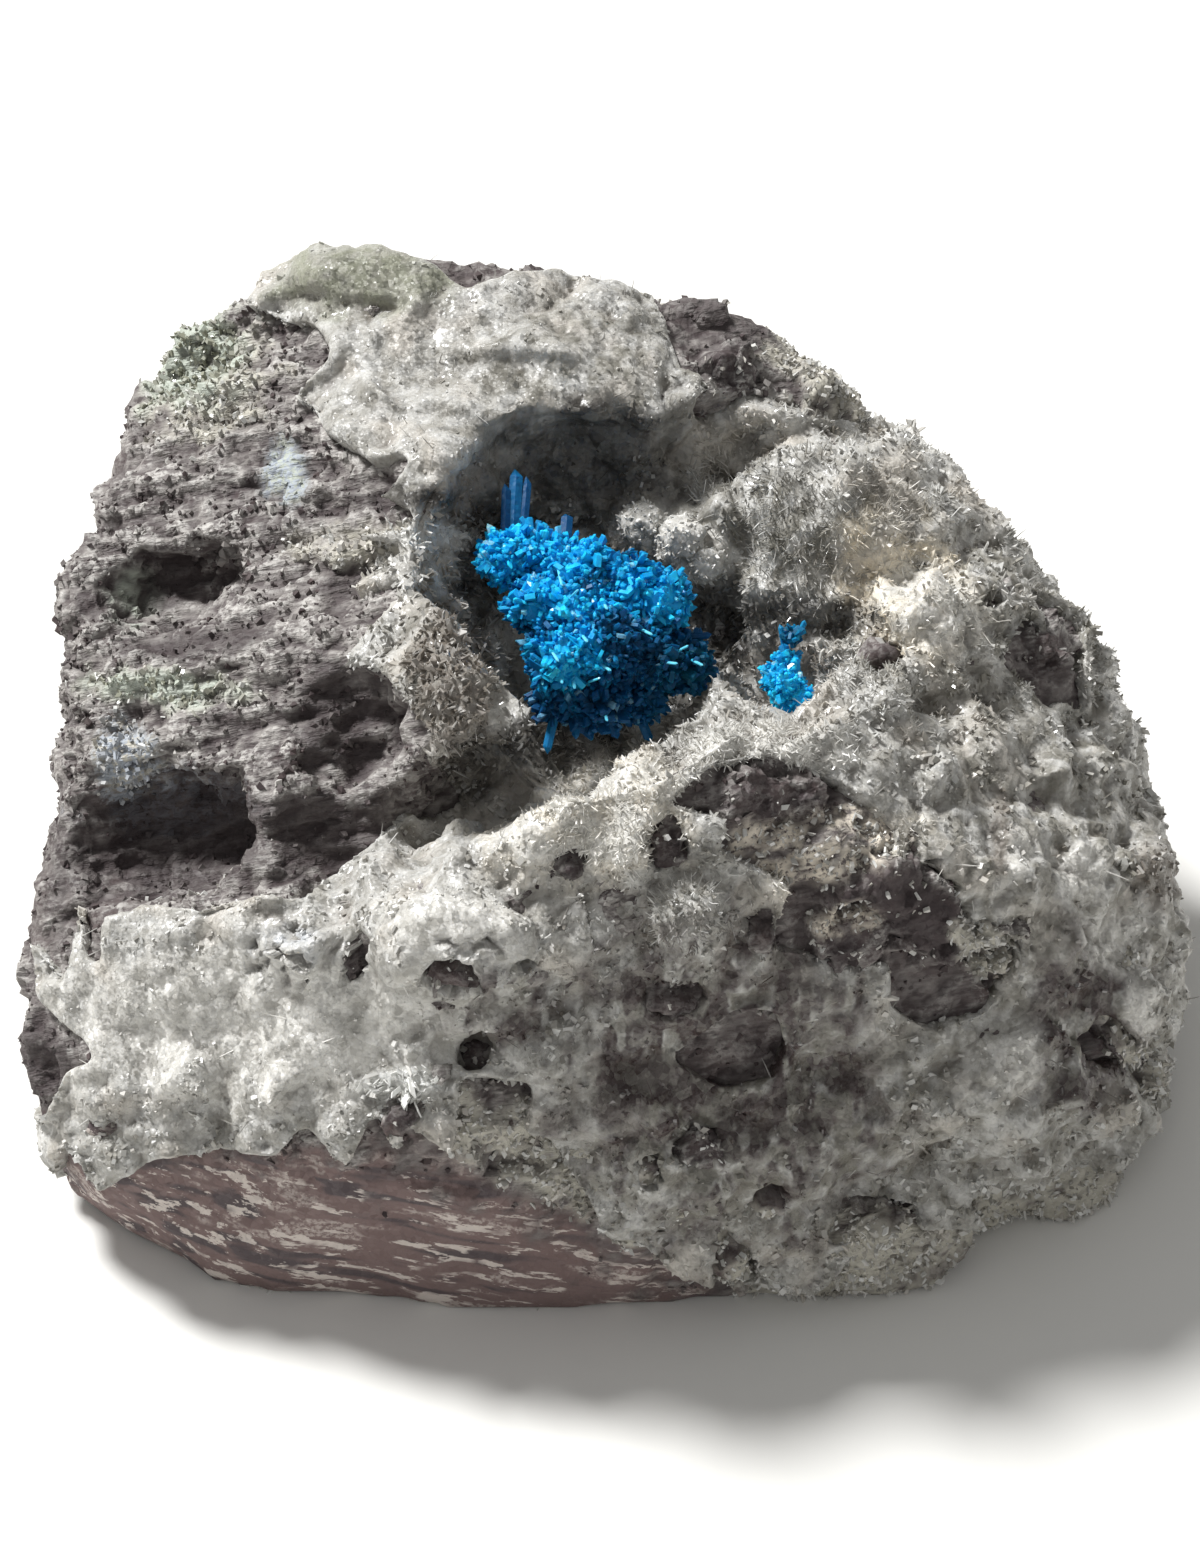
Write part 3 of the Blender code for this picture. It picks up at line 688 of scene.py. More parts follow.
def scatter(name, surface, masks, shapes, finish, values, seed):
    # crystals on a copy of the surface, as one plain mesh
    settings = {"Shapes": shapes, "Finish": finish, "Per square mm": float(values["perMm"]),
                "Shortest": values["long"][0], "Longest": values["long"][1], "Slimness": values["slim"],
                "Lean": values["lean"], "Sunk": values["sunk"], "Seed": seed}
    mesh = surface.data.copy()
    for mask, values in masks.items():
        setMask(mesh, mask, values)
    obj = addObject(name, mesh)
    growth = obj.modifiers.new("crystals", "NODES")
    growth.node_group = crystalTree
    for item in crystalTree.interface.items_tree:
        if item.in_out == "INPUT" and item.name in settings:
            growth[item.identifier] = settings[item.name]
    bakeModifiers(obj)
    points = pointArray(obj.data)
    keepInBox(points, 0.025)
    setPoints(obj.data, points)
    print(name, "triangles", len(obj.data.loop_triangles) or len(obj.data.polygons))
    return obj


# The block

stone = {
    # how far a face may turn from the camera before it counts as the back
    "front": (-0.3, 0.1),
    "voxel": 0.38,
    "smoothing": 3,
    "broad": (0.35, 3.0),           # height, and size of its features
    "gritty": (0.16, 0.6),
    "chips": ((3.2, 0.35), (1.4, 0.25), (0.75, 0.16)),  # size, and how steeply they tilt
    "layers": ((4.5, 1.1, 0.3), (2.4, 0.5, 0.2)),      # length, thickness and height of the layers
    "ledge": 0.5,                   # height of the ledges on the left
    "ledgeStep": 2.6,
    "most": 1.3,
    "flush": 1.1,                   # how far it stands up where it shows through the crust
}

stoneOvals = {
    "weathered": {
        "left mass": (-21, 6, 13, 19), "top left": (-17, 22, 12, 8), "upper right": (14, 20, 14, 7, -30),
    },
    "smooth": {
        "front face": (-14, -25.5, 22, 4.6, -10),
    },
    "streaked": {
        "front face": (-14, -26.5, 24, 6.8, -11),
    },
    "green": {
        "by the upper pocket": (-25.7, 10.2, 1.8, 1.8), "band": (-24.2, 4.7, 5, 1.1, -4),
        "top left": (-23, 23.6, 4, 3.6, 30), "small band": (-17.4, 17, 1.3, 2.2),
    },
    "blue": {
        "crystals": (-26.4, 1, 2, 2.6), "small band": (-17.4, 17, 1.5, 2.4),
        "foot of the left mass": (-24, -1.5, 5, 2),
    },
    # painted shade in the pockets, slots and hollows and under the overhangs; darker rock along some top
    # edges and on the slope
    "sooty": {
        "upper pocket": (-23.4, 10.6, 2.6, 1.9, 8), "notch": (-28.3, 9.5, 1.2, 0.8),
        "slit": (-19.4, 16.4, 0.4, 1), "under the top": (-11.6, 15.3, 3.8, 0.6, -4),
        "slot": (-12.8, 11.2, 3.2, 1.2, 14), "middle face": (-14.7, 3.4, 2.7, 3.5, 10),
        "small pocket": (-20.9, 3.1, 1.8, 0.8), "lower pocket": (-23, -3.4, 7.2, 3.6, 8),
        "lower right pocket": (-14.6, -3.8, 5, 3.2, -14), "corner": (-31, -15.8, 2.6, 3),
        "top pocket": (-21.8, 23.3, 0.9, 0.9), "top pocket left": (-23.7, 21.5, 0.9, 0.9),
        "top edge left": (-20, 27.7, 1.5, 0.9, 20), "top edge patch": (-18.3, 26.3, 1.4, 0.8),
        "top edge middle": (-15.6, 29.6, 1.6, 0.7), "top edge right": (-2.7, 28.3, 2.2, 1, -8),
        "upper right edge": (9.5, 24.6, 8.5, 1.6, -24), "slope": (18.4, -7.6, 5, 2, -30),
        "left mass low": (-22, 7.4, 4.4, 1, 6),
    },
    "powder": {
        "on the slope": (13.3, -4.5, 5.6, 1.5, 20), "above it": (14.6, -2.4, 3.4, 0.9),
        "before it": (9.3, -3.8, 2.4, 1.6), "below it": (13.8, -8, 1.9, 1.2, 10),
    },
    "spotted": {
        "corner": (-31, -15.8, 3.2, 3.4),
    },
    "film": {
        "foot": (13, -26.8, 7.4, 3.4, 4), "right foot": (24.6, -22.4, 8.4, 4.6, 24),
        "far right": (30.6, -12, 3, 9), "top left": (-22, 22.4, 4.4, 4.2, 30),
        "left band": (-24.2, 4.7, 5.4, 1.2, -4), "left crystals": (-26.4, 1, 2, 2.4),
        "upper right": (15, 20.6, 8, 3, -38), "rim": (-12, 12.7, 5.6, 1.5, 4),
        "above the front face": (-3, -21.2, 8, 2.6, -24), "by the foot": (3.6, -24.4, 5, 2.4, -12),
        "right of the slope": (21.5, -9.5, 2.6, 1.6, -40),
    },
}


def bareMask(points, a, u):
    ragged = noiseField(points, 2.2, 4, 4) * 0.45 + noiseField(points, 0.8, 2, 14) * 0.25
    powder = ovalMask(a, u, crustOvals["powder"], 0.3, ragged)
    return ovalMask(a, u, crustOvals["bare"], 0.2, ragged - 0.12) * (1 - powder)


def stoneRelief(mesh):
    points, normals = pointArray(mesh), normalArray(mesh)
    a, u, _ = seenPlaces(points)
    front = facing(normals, *stone["front"])
    wobble = noiseField(points, 5.0, 3, 1)
    left = ovalMask(a, u, stoneOvals["weathered"], 0.3) * (a < -6) * front
    plain = ovalMask(a, u, stoneOvals["smooth"], 0.4) * front
    rough = noiseField(points, stone["broad"][1], 4, 2) * stone["broad"][0]
    rough += noiseField(points, stone["gritty"][1], 3, 3) * stone["gritty"][0]
    for seed, (size, steep) in enumerate(stone["chips"], 3):
        rough += facetField(points, size, seed) * steep
    rise = (u - 0.16 * a) / stone["ledgeStep"] + 0.9 * wobble
    jut = 0.55 + 0.45 * np.sin(np.floor(rise) * 12.7)
    ledge = jut * (smoothStep(rise % 1, 0, 0.75) - smoothStep(rise % 1, 0.82, 1) - 0.5)
    for seed, (long, thin, height) in enumerate(stone["layers"], 11):
        ledge += (layerField(points, long, thin, seed) - 0.6) * height / stone["ledge"]
    rough = rough * (1 - 0.8 * plain - 0.3 * left) + ledge * left * stone["ledge"]
    rough = np.clip(rough, -stone["most"], stone["most"])
    rough += bareMask(points, a, u) * front * stone["flush"]
    foot = smoothStep(points[:, 2] / mm, 0.2, 1.6)
    points += normals * (rough * foot * mm)[:, None]
    lowerRim(points)
    keepInBox(points)
    setPoints(mesh, points)


def stoneMasks(mesh):
    points, normals = pointArray(mesh), normalArray(mesh)
    a, u, _ = seenPlaces(points)
    front = facing(normals, *stone["front"])
    wobble = noiseField(points, 1.6, 4, 5) * 0.45
    hollow, pit = hollowness(mesh, points, 40), hollowness(mesh, points, 5)
    masks = {name: ovalMask(a, u, ovals, 0.35, wobble) * front for name, ovals in stoneOvals.items()}
    lit = smoothStep(normals[:, 2], 0.0, 0.8)
    masks["weathered"] = np.maximum(masks["weathered"], 0.35 + 0.5 * (noiseField(points, 7, 3, 8) > 0))
    bare = bareMask(points, a, u) * front
    masks["weathered"] *= (1 - masks["streaked"]) * (1 - bare)
    masks["dust"] = masks["weathered"] * smoothStep(-pit, -0.04, 0.1) * (0.4 + 0.6 * lit)
    rim = ovalMask(a, u, crustOvals["bare"], 0.6, wobble) * (1 - 0.8 * smoothStep(bare, 0.5, 1)) * front
    masks["dust"] = np.maximum(masks["dust"] * 0.8, rim * 0.7)
    masks["powder"] *= smoothStep(noiseField(points, 1.0, 4, 36), -0.5, 0.1)
    masks["crumbs"] = rim * smoothStep(noiseField(points, 1.2, 3, 33), -0.15, 0.25)
    # painted shade in the small pits
    masks["pit"] = smoothStep(pit, 0.03, 0.18) * (1 - masks["smooth"])
    # painted shade in the block's hollows
    masks["sooty"] = np.maximum(masks["sooty"], smoothStep(hollow, 0.35, 1.0) * 0.7)
    away = 1 - front
    masks["spotted"] = np.maximum(masks["spotted"], away * smoothStep(noiseField(points, 6, 3, 7), 0.1, 0.4))
    masks["film"] = np.maximum(masks["film"], away * smoothStep(noiseField(points, 5, 4, 17), 0.35, 0.5))
    for name in ("sooty", "streaked", "smooth"):
        masks[name] *= 1 - masks["film"]
    masks["crumbs"] = np.maximum(masks["crumbs"], np.maximum(masks["film"], masks["powder"]))
    masks["middling"] = evenNoise(points, 0.9, 3, 11)
    masks["coarse"] = evenNoise(points, 2.4, 4, 0)
    masks["mottle"] = masks["patch"] = evenNoise(points, 1.4, 3, 34)
    for name, values in masks.items():
        setMask(mesh, name, values)
    return masks


def makeStone():
    obj = fineCopy("basalt_matrix", "basaltBlock", stone["voxel"], stone["smoothing"])
    plainTree = treeOf(obj.data)
    stoneRelief(obj.data)
    masks = stoneMasks(obj.data)
    putOn(obj, basaltFinish())
    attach(obj, "root")
    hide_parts("basalt_matrix")
    print("block", len(obj.data.polygons), "faces")
    return obj, masks, plainTree


grit = {
    "perMm": 5.6,
    "long": (0.12, 0.36),
    "slim": 0.9,
    "lean": 2.0,
    "sunk": 0.06,
}


def makeGrit(surface, masks):
    points = pointArray(surface.data)
    front = smoothStep(normalArray(surface.data) @ np.array(towardWay), -0.5, 0)
    crumbs = shapeSet("basalt crumbs", [chunkShape("crumb%d" % n, n) for n in range(4)])
    loose = smoothStep(noiseField(points, 1.4, 3, 31), -0.3, 0.3)
    high = smoothStep(points[:, 2] / mm, 0.8, 1.5)
    grow = masks["weathered"] * loose * front * high * (1 - 0.6 * masks["sooty"]) * (1 - masks["smooth"])
    size = np.clip(1 + 0.5 * noiseField(points, 2.5, 2, 32), 0.5, 1.6)
    obj = scatter("basaltGrit", surface, {"grow": grow, "size": size}, crumbs, crumbFinish(), grit, 61)
    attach(obj, "root")


# The stilbite crust

crust = {
    "front": (-0.2, 0.2),
    # height over the basalt: where the outer side begins and is full, and where it shows
    "outer": (0.62, 1.1), "edge": (0.5, 0.7),
    # lowest and highest relief, then the pores' size, rim and depth
    "reach": (-1.0, 1.3), "pores": (0.95, 0.62, 1.6),
    "voxel": 0.345,
    "smoothing": 11,
    "heads": ((3.8, 1.4, 2), (1.6, 0.5, 9)),        # size and height of the rounded heads, seed
    "facets": ((1.1, 0.25), (0.6, 0.25)),           # size, and how steeply they tilt
    "coarse": (0.3, 1.8),
    "fine": (0.08, 0.5),
    "root": 0.7,                    # how far its underside sinks into the stone
    "sunk": 1.9,                    # how far it drops where the stone shows through
}

crustOvals = {
    "bare": {
        "ridge front": (9.4, -1.2, 3.6, 1.5, -6), "glinting block": (3.7, -4, 1.3, 1.4),
        "slope": (17.4, -7.2, 6.4, 2.5, -30), "slope low": (13.6, -8.4, 2.6, 2.4),
        "ridge triangle": (-1.7, -5.1, 1, 0.8, 10), "knob patch": (-8.2, -11.2, 1.6, 1.2),
        "knob dot": (-4, -10.5, 0.7, 0.5), "knob pocket": (-6.9, -15.2, 1.1, 1.2),
        "arc": (-11.1, -19, 1.5, 0.8, 30), "right pit": (24.6, 7, 1.8, 1.5),
        "right pit small": (22, 9.8, 0.8, 0.6), "low spot": (15.5, -24.3, 1.6, 1.3),
        "low spot left": (5.6, -20.6, 1.6, 1.2, 30), "low streak": (2.8, -21.8, 0.8, 1.4),
        "low dot": (9.4, -23.5, 1, 0.8), "middle spot": (4.2, -12.6, 1.9, 1),
        "beside the slope": (8.9, -8.9, 0.9, 1), "slit": (-13.6, -9.9, 0.6, 1.6),
        "foot": (7.3, -27, 1.2, 1.6), "right low": (28.2, -14.8, 1.7, 1.1),
        "right low edge": (30.7, -16.7, 0.9, 1.2), "rough mass": (15.4, 6.6, 1.4, 1),
        "upper right": (6.8, 22.8, 1.6, 1.3), "upper right edge": (11.6, 21.8, 1.4, 0.9, -30),
    },
    "powder": {
        "on the slope": (13.3, -4.5, 5, 1.3, 20),
    },
    "cream": {
        "ridge crest": (0.6, -1.6, 4.6, 3.2, 10), "ridge foot": (-1, -3.6, 6.6, 2.6, 8),
        "powder": (13.3, -4.5, 5.6, 1.9, 20), "tan heads": (17.2, 10.5, 2.8, 2.6),
        "right bank": (17, 10.2, 5, 4, -30),
    },
    "olive": {
        "upper rim": (-1.7, 22.8, 8.6, 4.2, -6), "wall by the fans": (-9, 6.6, 2.6, 5.4),
        "big ball": (10, 13.4, 5.6, 4), "right bank": (22, 8, 8, 8), "right side": (26, -8, 12, 16),
        "front low": (10, -19, 14, 9),
    },
    "green": {
        "top dome": (-13.2, 27.6, 6, 2.4),
    },
    "blue": {
        "porous": (-17.2, -10, 2.8, 2), "knob": (-7, -9.4, 3.2, 0.8),
    },
    # paler crust, with painted light on the left slope and the ridge and painted highlights on the lumps and
    # sparkles at the right
    "fair": {
        "left slope": (-19, -13.6, 14, 5.4, 4), "knob": (-7.9, -8.6, 5, 2.6),
        "ridge": (0.6, -1.8, 5, 3.4, 10), "ridge foot": (-1, -3.6, 6.6, 2.6, 8),
        "above the trench": (9, 1.2, 6, 2.2), "powder": (13.3, -4.5, 5.4, 1.7, 20),
        "tan heads": (18.2, 9.6, 4, 2.6, -30), "right lumps": (27, -5.3, 1.9, 2),
        "right lumps low": (28.8, -9.2, 2.2, 2.2), "right lumps foot": (30, -12.7, 1.1, 2.1),
        "sparkles": (22.6, -15.4, 2.5, 2.4), "sparkles high": (23.4, -4.3, 1, 1.6),
    },
    "white": {
        "spikes": (-10.9, -17.1, 2.7, 1), "smooth ball": (2.5, 13.9, 1.5, 1.5),
        "left rim": (-9, 13.2, 2.6, 0.9),
    },
    "bald": {
        "top dome": (-13.2, 28, 5.6, 1.9), "smooth ball": (3.2, 13.9, 2.4, 1.8),
        "knob": (-7.9, -8.4, 4.4, 1.8), "blurry ball": (12, 9, 1.2, 1),
    },
    "ball": {
        "big ball": (11, 13.4, 4.6, 4.4), "upright": (6.1, 17.2, 1.6, 2.2),
        "right arc": (16.2, 15.1, 2.8, 1.6, -20), "small ball": (4.5, -7.6, 2.1, 2.1),
    },
    "porous": {
        "porous": (-17.2, -10, 3.2, 2.4), "knob": (-7, -9.4, 3, 0.8),
    },
    "sparse": {
        "right side": (24, -9, 10, 12), "front low": (8, -17, 12, 9), "left slope": (-20, -13, 14, 6),
        "top": (-8, 22.5, 12, 6),
    },
    "level": {
        "left slope": (-20, -13, 14, 6), "top": (-6, 22, 10, 4.4),
    },
    "shade": {
        "wall by the fans": (-8.4, 5, 3, 5.8), "above the fans": (-7.6, 15, 1.6, 2.6),
        "right edge": (30.9, -5.4, 1.8, 2.4), "dark gap": (22.2, -2.6, 0.7, 3),
        "under the bank": (10.4, 6.4, 3.4, 1.2),
    },
    "felt": {
        "ridge crest": (0.2, -2.8, 4, 3.2), "powder": (13.3, -4.5, 5.6, 1.9, 20),
        "above the trench": (8, 1.6, 7, 2.4), "rough mass": (14, 6, 3.4, 2.4),
        "left of the trench": (1.4, 2.4, 4, 2, 20),
    },
    # real stains, made strong enough to also paint the shade on the low front and the right side
    "stain": {
        "front low": (7, -17, 11, 11), "right side": (27, -14, 4, 6), "knob side": (-6, -13, 4, 3),
    },
    # painted shade: the vug, the trenches and the places behind, under and beside the fans
    "dusk": {
        "vug": (-0.4, 17.4, 7, 4.2), "behind the fans": (-5.6, 13, 3, 4),
        "under the fans": (-2.6, 1.9, 5.4, 2.4, 14), "foot of the wall": (-6.6, 0.4, 3.4, 2.2, 24),
        "right of the fans": (4.4, 4.6, 1.7, 1.3, 20), "beside the fans": (6.4, 8.2, 3.2, 3.4),
        "right trench": (11.1, 8.9, 5.5, 1.5, -6), "under the wall": (-12, 15.6, 4.6, 1, -4),
    },
}

# swells and dents of the crust, each an oval and its height
crustRises = {
    "knob": (-7.9, -9.3, 4.8, 2.9, 0, 0.9),
    "small ball": (4.5, -7.6, 2.0, 2.1, 0, 0.5),
    "tan heads": (17.2, 10.5, 2.4, 2.2, 0, 0.5),
    "upright": (6.1, 17.2, 1.4, 2.2, 0, 0.6),
    "right lump": (26.5, -12.0, 3.4, 3.4, 0, 0.5),
    "low lump": (21.0, -19.0, 3.6, 3.0, 0, 0.5),
    "front lump": (9.0, -16.0, 3.0, 3.2, 0, 0.4),
    "dark dent": (6.4, -12.0, 1.6, 2.6, 20, -0.6),
    "left dent": (-16.0, -6.8, 3.4, 0.9, 20, -0.5),
    "right trench": (11.1, 8.7, 5.0, 1.3, -10, -0.5),
}


def crustRelief(mesh, stoneTree):
    points, normals = pointArray(mesh), normalArray(mesh)
    lift = np.empty(len(points))
    near, ways = points.copy(), normals.copy()
    for index, point in enumerate(points):
        spot, normal, _, gap = stoneTree.find_nearest(Vector(point))
        lift[index] = gap / mm
        near[index] = spot - normal * crust["root"] * mm
        ways[index] = Vector(normals[index]) * 0.4 + (Vector(point) - spot) / max(gap, 1e-6)
    under = lift < crust["outer"][0]
    upper = smoothStep(lift, *crust["outer"])
    a, u, _ = seenPlaces(points)
    bare = bareMask(points, a, u)
    wobble = noiseField(points, 1.2, 3, 19) * 0.2
    calm = np.maximum(ovalMask(a, u, crustOvals["bald"], 0.3), ovalMask(a, u, crustOvals["ball"], 0.3) * 0.7)
    calm = np.maximum(calm, ovalMask(a, u, crustOvals["level"], 0.3) * 0.6)
    heads = np.zeros(len(points))
    for size, height, seed in crust["heads"]:
        heads += (domeField(points, size, seed) - 0.74) * height
    facets = np.zeros(len(points))
    for seed, (size, steep) in enumerate(crust["facets"], 5):
        facets += facetField(points, size, seed) * steep
    rough = noiseField(points, crust["coarse"][1], 4, 6) * crust["coarse"][0]
    rough += noiseField(points, crust["fine"][1], 3, 8) * crust["fine"][0]
    rise = (heads + rough + facets) * (1 - 0.8 * calm) + domeRise(a, u, crustRises, wobble)
    wide, edge, deep = crust["pores"]
    pores = np.maximum(0, edge - domeField(points, wide, 15)) * ovalMask(a, u, crustOvals["porous"], 0.3)
    rise = (np.clip(rise, *crust["reach"]) - deep * pores) * (1 - bare) - crust["sunk"] * bare
    ways /= np.linalg.norm(ways, axis=1)[:, None]
    points += ways * (rise * upper * mm)[:, None]
    points[under] = near[under]
    lowerRim(points)
    points[:, 2] = np.maximum(points[:, 2], 0.3 * mm)
    keepInBox(points)
    setPoints(mesh, points)
    return smoothStep(lift, *crust["edge"]), bare


def crustMasks(mesh, upper, bare):
    points = pointArray(mesh)
    a, u, _ = seenPlaces(points)
    wobble = noiseField(points, 1.8, 3, 9) * 0.35
    hollow, pit = hollowness(mesh, points, 30), hollowness(mesh, points, 5)
    names = ("fair", "cream", "olive", "green", "blue", "white", "bald", "ball", "sparse", "felt", "stain",
             "dusk", "shade")
    masks = {name: ovalMask(a, u, crustOvals[name], 0.4, wobble) for name in names}
    # painted shade: darker in the hollows and small pits, and where the shade ovals lie
    masks["deep"] = np.maximum(smoothStep(hollow, 0.25, 1.0) * 0.6, smoothStep(pit, 0.05, 0.22) * 0.5)
    masks["deep"] = np.maximum(masks["deep"], masks["shade"] * 0.75)
    masks["deep"] *= 1 - np.maximum(masks["white"], 0.8 * masks["cream"])
    front = facing(normalArray(mesh), *crust["front"])
    for name in ("green", "bald", "white"):
        masks[name] *= front
    masks["dusk"] *= 1 - np.maximum(masks["white"], 0.6 * masks["ball"])
    masks["patch"] = evenNoise(points, 3.5, 3, 2)
    masks["mottle"] = evenNoise(points, 1.1, 4, 7)
    masks["hanging"] = evenNoise(points / np.array((0.7, 1.2, 2.4)), 0.9, 4, 10)
    masks["tint"] = np.full(len(points), 0.42)
    masks["upper"] = upper * (1 - bare)
    for name, values in masks.items():
        setMask(mesh, name, values)
    return masks


def makeCrust(stoneTree):
    obj = fineCopy("stilbite_crust", "stilbiteCrust", crust["voxel"], crust["smoothing"])
    upper, bare = crustRelief(obj.data, stoneTree)
    masks = crustMasks(obj.data, upper, bare)
    putOn(obj, groundFinish())
    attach(obj, "root")
    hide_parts("stilbite_crust")
    print("crust", len(obj.data.polygons), "faces")
    return obj, masks


# smooth rounded lumps at the back of the hollow: across, up, radius and how far they stand out
balls = [(2.5, 13.9, 1.3, 0.1), (4.5, 13.1, 1.4, -0.2), (5.9, 11.8, 1.1, -0.3)]


def makeBalls(surface, ground, crystals, grains):
    tree = treeOf(surface.data)
    bm = bmesh.new()
    for a, u, radius, out in balls:
        near, far = placeSeen(a, u, 60), placeSeen(a, u, 0)
        way = (far - near).normalized()
        spot = tree.ray_cast(near, way)[0]
        made = bmesh.ops.create_icosphere(bm, subdivisions=4, radius=radius * mm)
        for vert in made["verts"]:
            vert.co *= 1 + 0.3 * noise.fractal(vert.co / (1.1 * mm) + Vector((a, u, 0)), 0.9, 2.1, 3)
        bmesh.ops.translate(bm, vec=spot - way * out * radius * mm, verts=made["verts"])
    mesh = meshFrom(bm, "stilbiteBalls")
    mesh.shade_smooth()
    obj = addObject("stilbiteBalls", mesh, ground)
    points = pointArray(mesh)
    setMask(mesh, "tint", np.full(len(points), 0.42))
    setMask(mesh, "fair", smoothStep(noiseField(points, 0.6, 3, 35), -0.4, 0.4))
    for name in ("patch", "mottle"):
        setMask(mesh, name, np.full(len(points), 0.5))
    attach(obj, "root")
    even = np.ones(len(points))
    growStilbite("stilbiteBallGrains", obj, grains, crystals, even, even, stilbiteBallGrains, 56)


stilbiteFields = {
    # across and up limits of each field, then its crystals
    "stilbiteLeft": {"across": (-40, -14), "up": (-40, 1), "kind": "sugar", "perMm": 20,
                     "long": (0.15, 0.4), "slim": 0.7, "lean": 1.8},
    "stilbiteFront": {"across": (-14, -3), "up": (-40, 1), "kind": "sugar", "perMm": 18,
                      "long": (0.15, 0.4), "slim": 0.7, "lean": 1.8},
    "stilbiteTop": {"across": (-40, 8), "up": (14.5, 40), "kind": "sugar", "perMm": 15,
                    "long": (0.15, 0.36), "slim": 0.65, "lean": 1.8},
    "stilbiteVug": {"across": (-40, 8), "up": (1, 14.5), "kind": "blades", "perMm": 16,
                    "long": (0.25, 0.6), "slim": 0.38, "lean": 1.3},
    "stilbiteMiddle": {"across": (-3, 16), "up": (-12, 1), "kind": "blades", "perMm": 16,
                       "long": (0.22, 0.5), "slim": 0.4, "lean": 1.5},
    "stilbiteLow": {"across": (-3, 16), "up": (-40, -12), "kind": "sugar", "perMm": 13,
                    "long": (0.18, 0.5), "slim": 0.65, "lean": 1.6},
    "stilbiteRight": {"across": (16, 40), "up": (-40, 2), "kind": "sugar", "perMm": 14,
                      "long": (0.2, 0.55), "slim": 0.6, "lean": 1.6},
    "stilbiteBank": {"across": (8, 40), "up": (2, 14), "kind": "blades", "perMm": 16,
                     "long": (0.25, 0.6), "slim": 0.34, "lean": 1.4},
    "stilbiteFar": {"across": (8, 40), "up": (14, 40), "kind": "blades", "perMm": 15,
                    "long": (0.22, 0.55), "slim": 0.36, "lean": 1.4},
}

stilbiteSunk = {"sugar": 0.2, "blades": 0.14}
stilbiteBallGrains = {"perMm": 16, "long": (0.12, 0.34), "slim": 0.5, "lean": 1.6, "sunk": 0.1}

# crystals that stand apart from the fields
stilbiteExtras = {
    "stilbiteFibres": {"kind": "needles", "perMm": 22, "long": (0.4, 0.85), "slim": 0.1,
                       "lean": 0.9, "sunk": 0.15, "seed": 51},
    "stilbiteNeedles": {"kind": "needles", "perMm": 0.4, "long": (0.6, 1.3), "slim": 0.06,
                        "lean": 2.2, "sunk": 0.1, "seed": 52},
    "stilbiteSpikes": {"kind": "blades", "perMm": 7, "long": (0.5, 1.1), "slim": 0.26,
                       "lean": 1.0, "sunk": 0.1, "seed": 53},
    "stilbiteFelt": {"kind": "needles", "perMm": 32, "long": (0.25, 0.55), "slim": 0.16,
                     "lean": 2.2, "sunk": 0.06, "seed": 55},
    "stilbiteFilm": {"kind": "sugar", "perMm": 9, "long": (0.15, 0.45), "slim": 0.6,
                     "lean": 1.8, "sunk": 0.06, "seed": 54},
}


def stilbiteShapes():
    return {
        "sugar": shapeSet("stilbite sugar", [
            bladeShape("block", 0.8, 0.25, 1.0),
            bladeShape("chip", 0.55, -0.4, 0.7),
            prismShape("grain", 3, 0.9, 0.8, 0.3, 0.3),
        ]),
        "blades": shapeSet("stilbite blades", [
            bladeShape("blade", 0.4, 0.3, 0.9),
            bladeShape("plate", 0.25, 0.0, 1.0),
            bladeShape("lath", 0.6, -0.3, 0.5),
        ]),
        "needles": shapeSet("stilbite needles", [
            prismShape("straw", 3, 0.9, 0.8, 0.2),
            bladeShape("sliver", 0.6, 0.5, 0.7),
        ]),
    }


def growStilbite(name, surface, shapes, finish, grow, size, values, seed):
    obj = scatter(name, surface, {"grow": grow, "size": size}, shapes, finish, values, seed)
    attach(obj, "root")


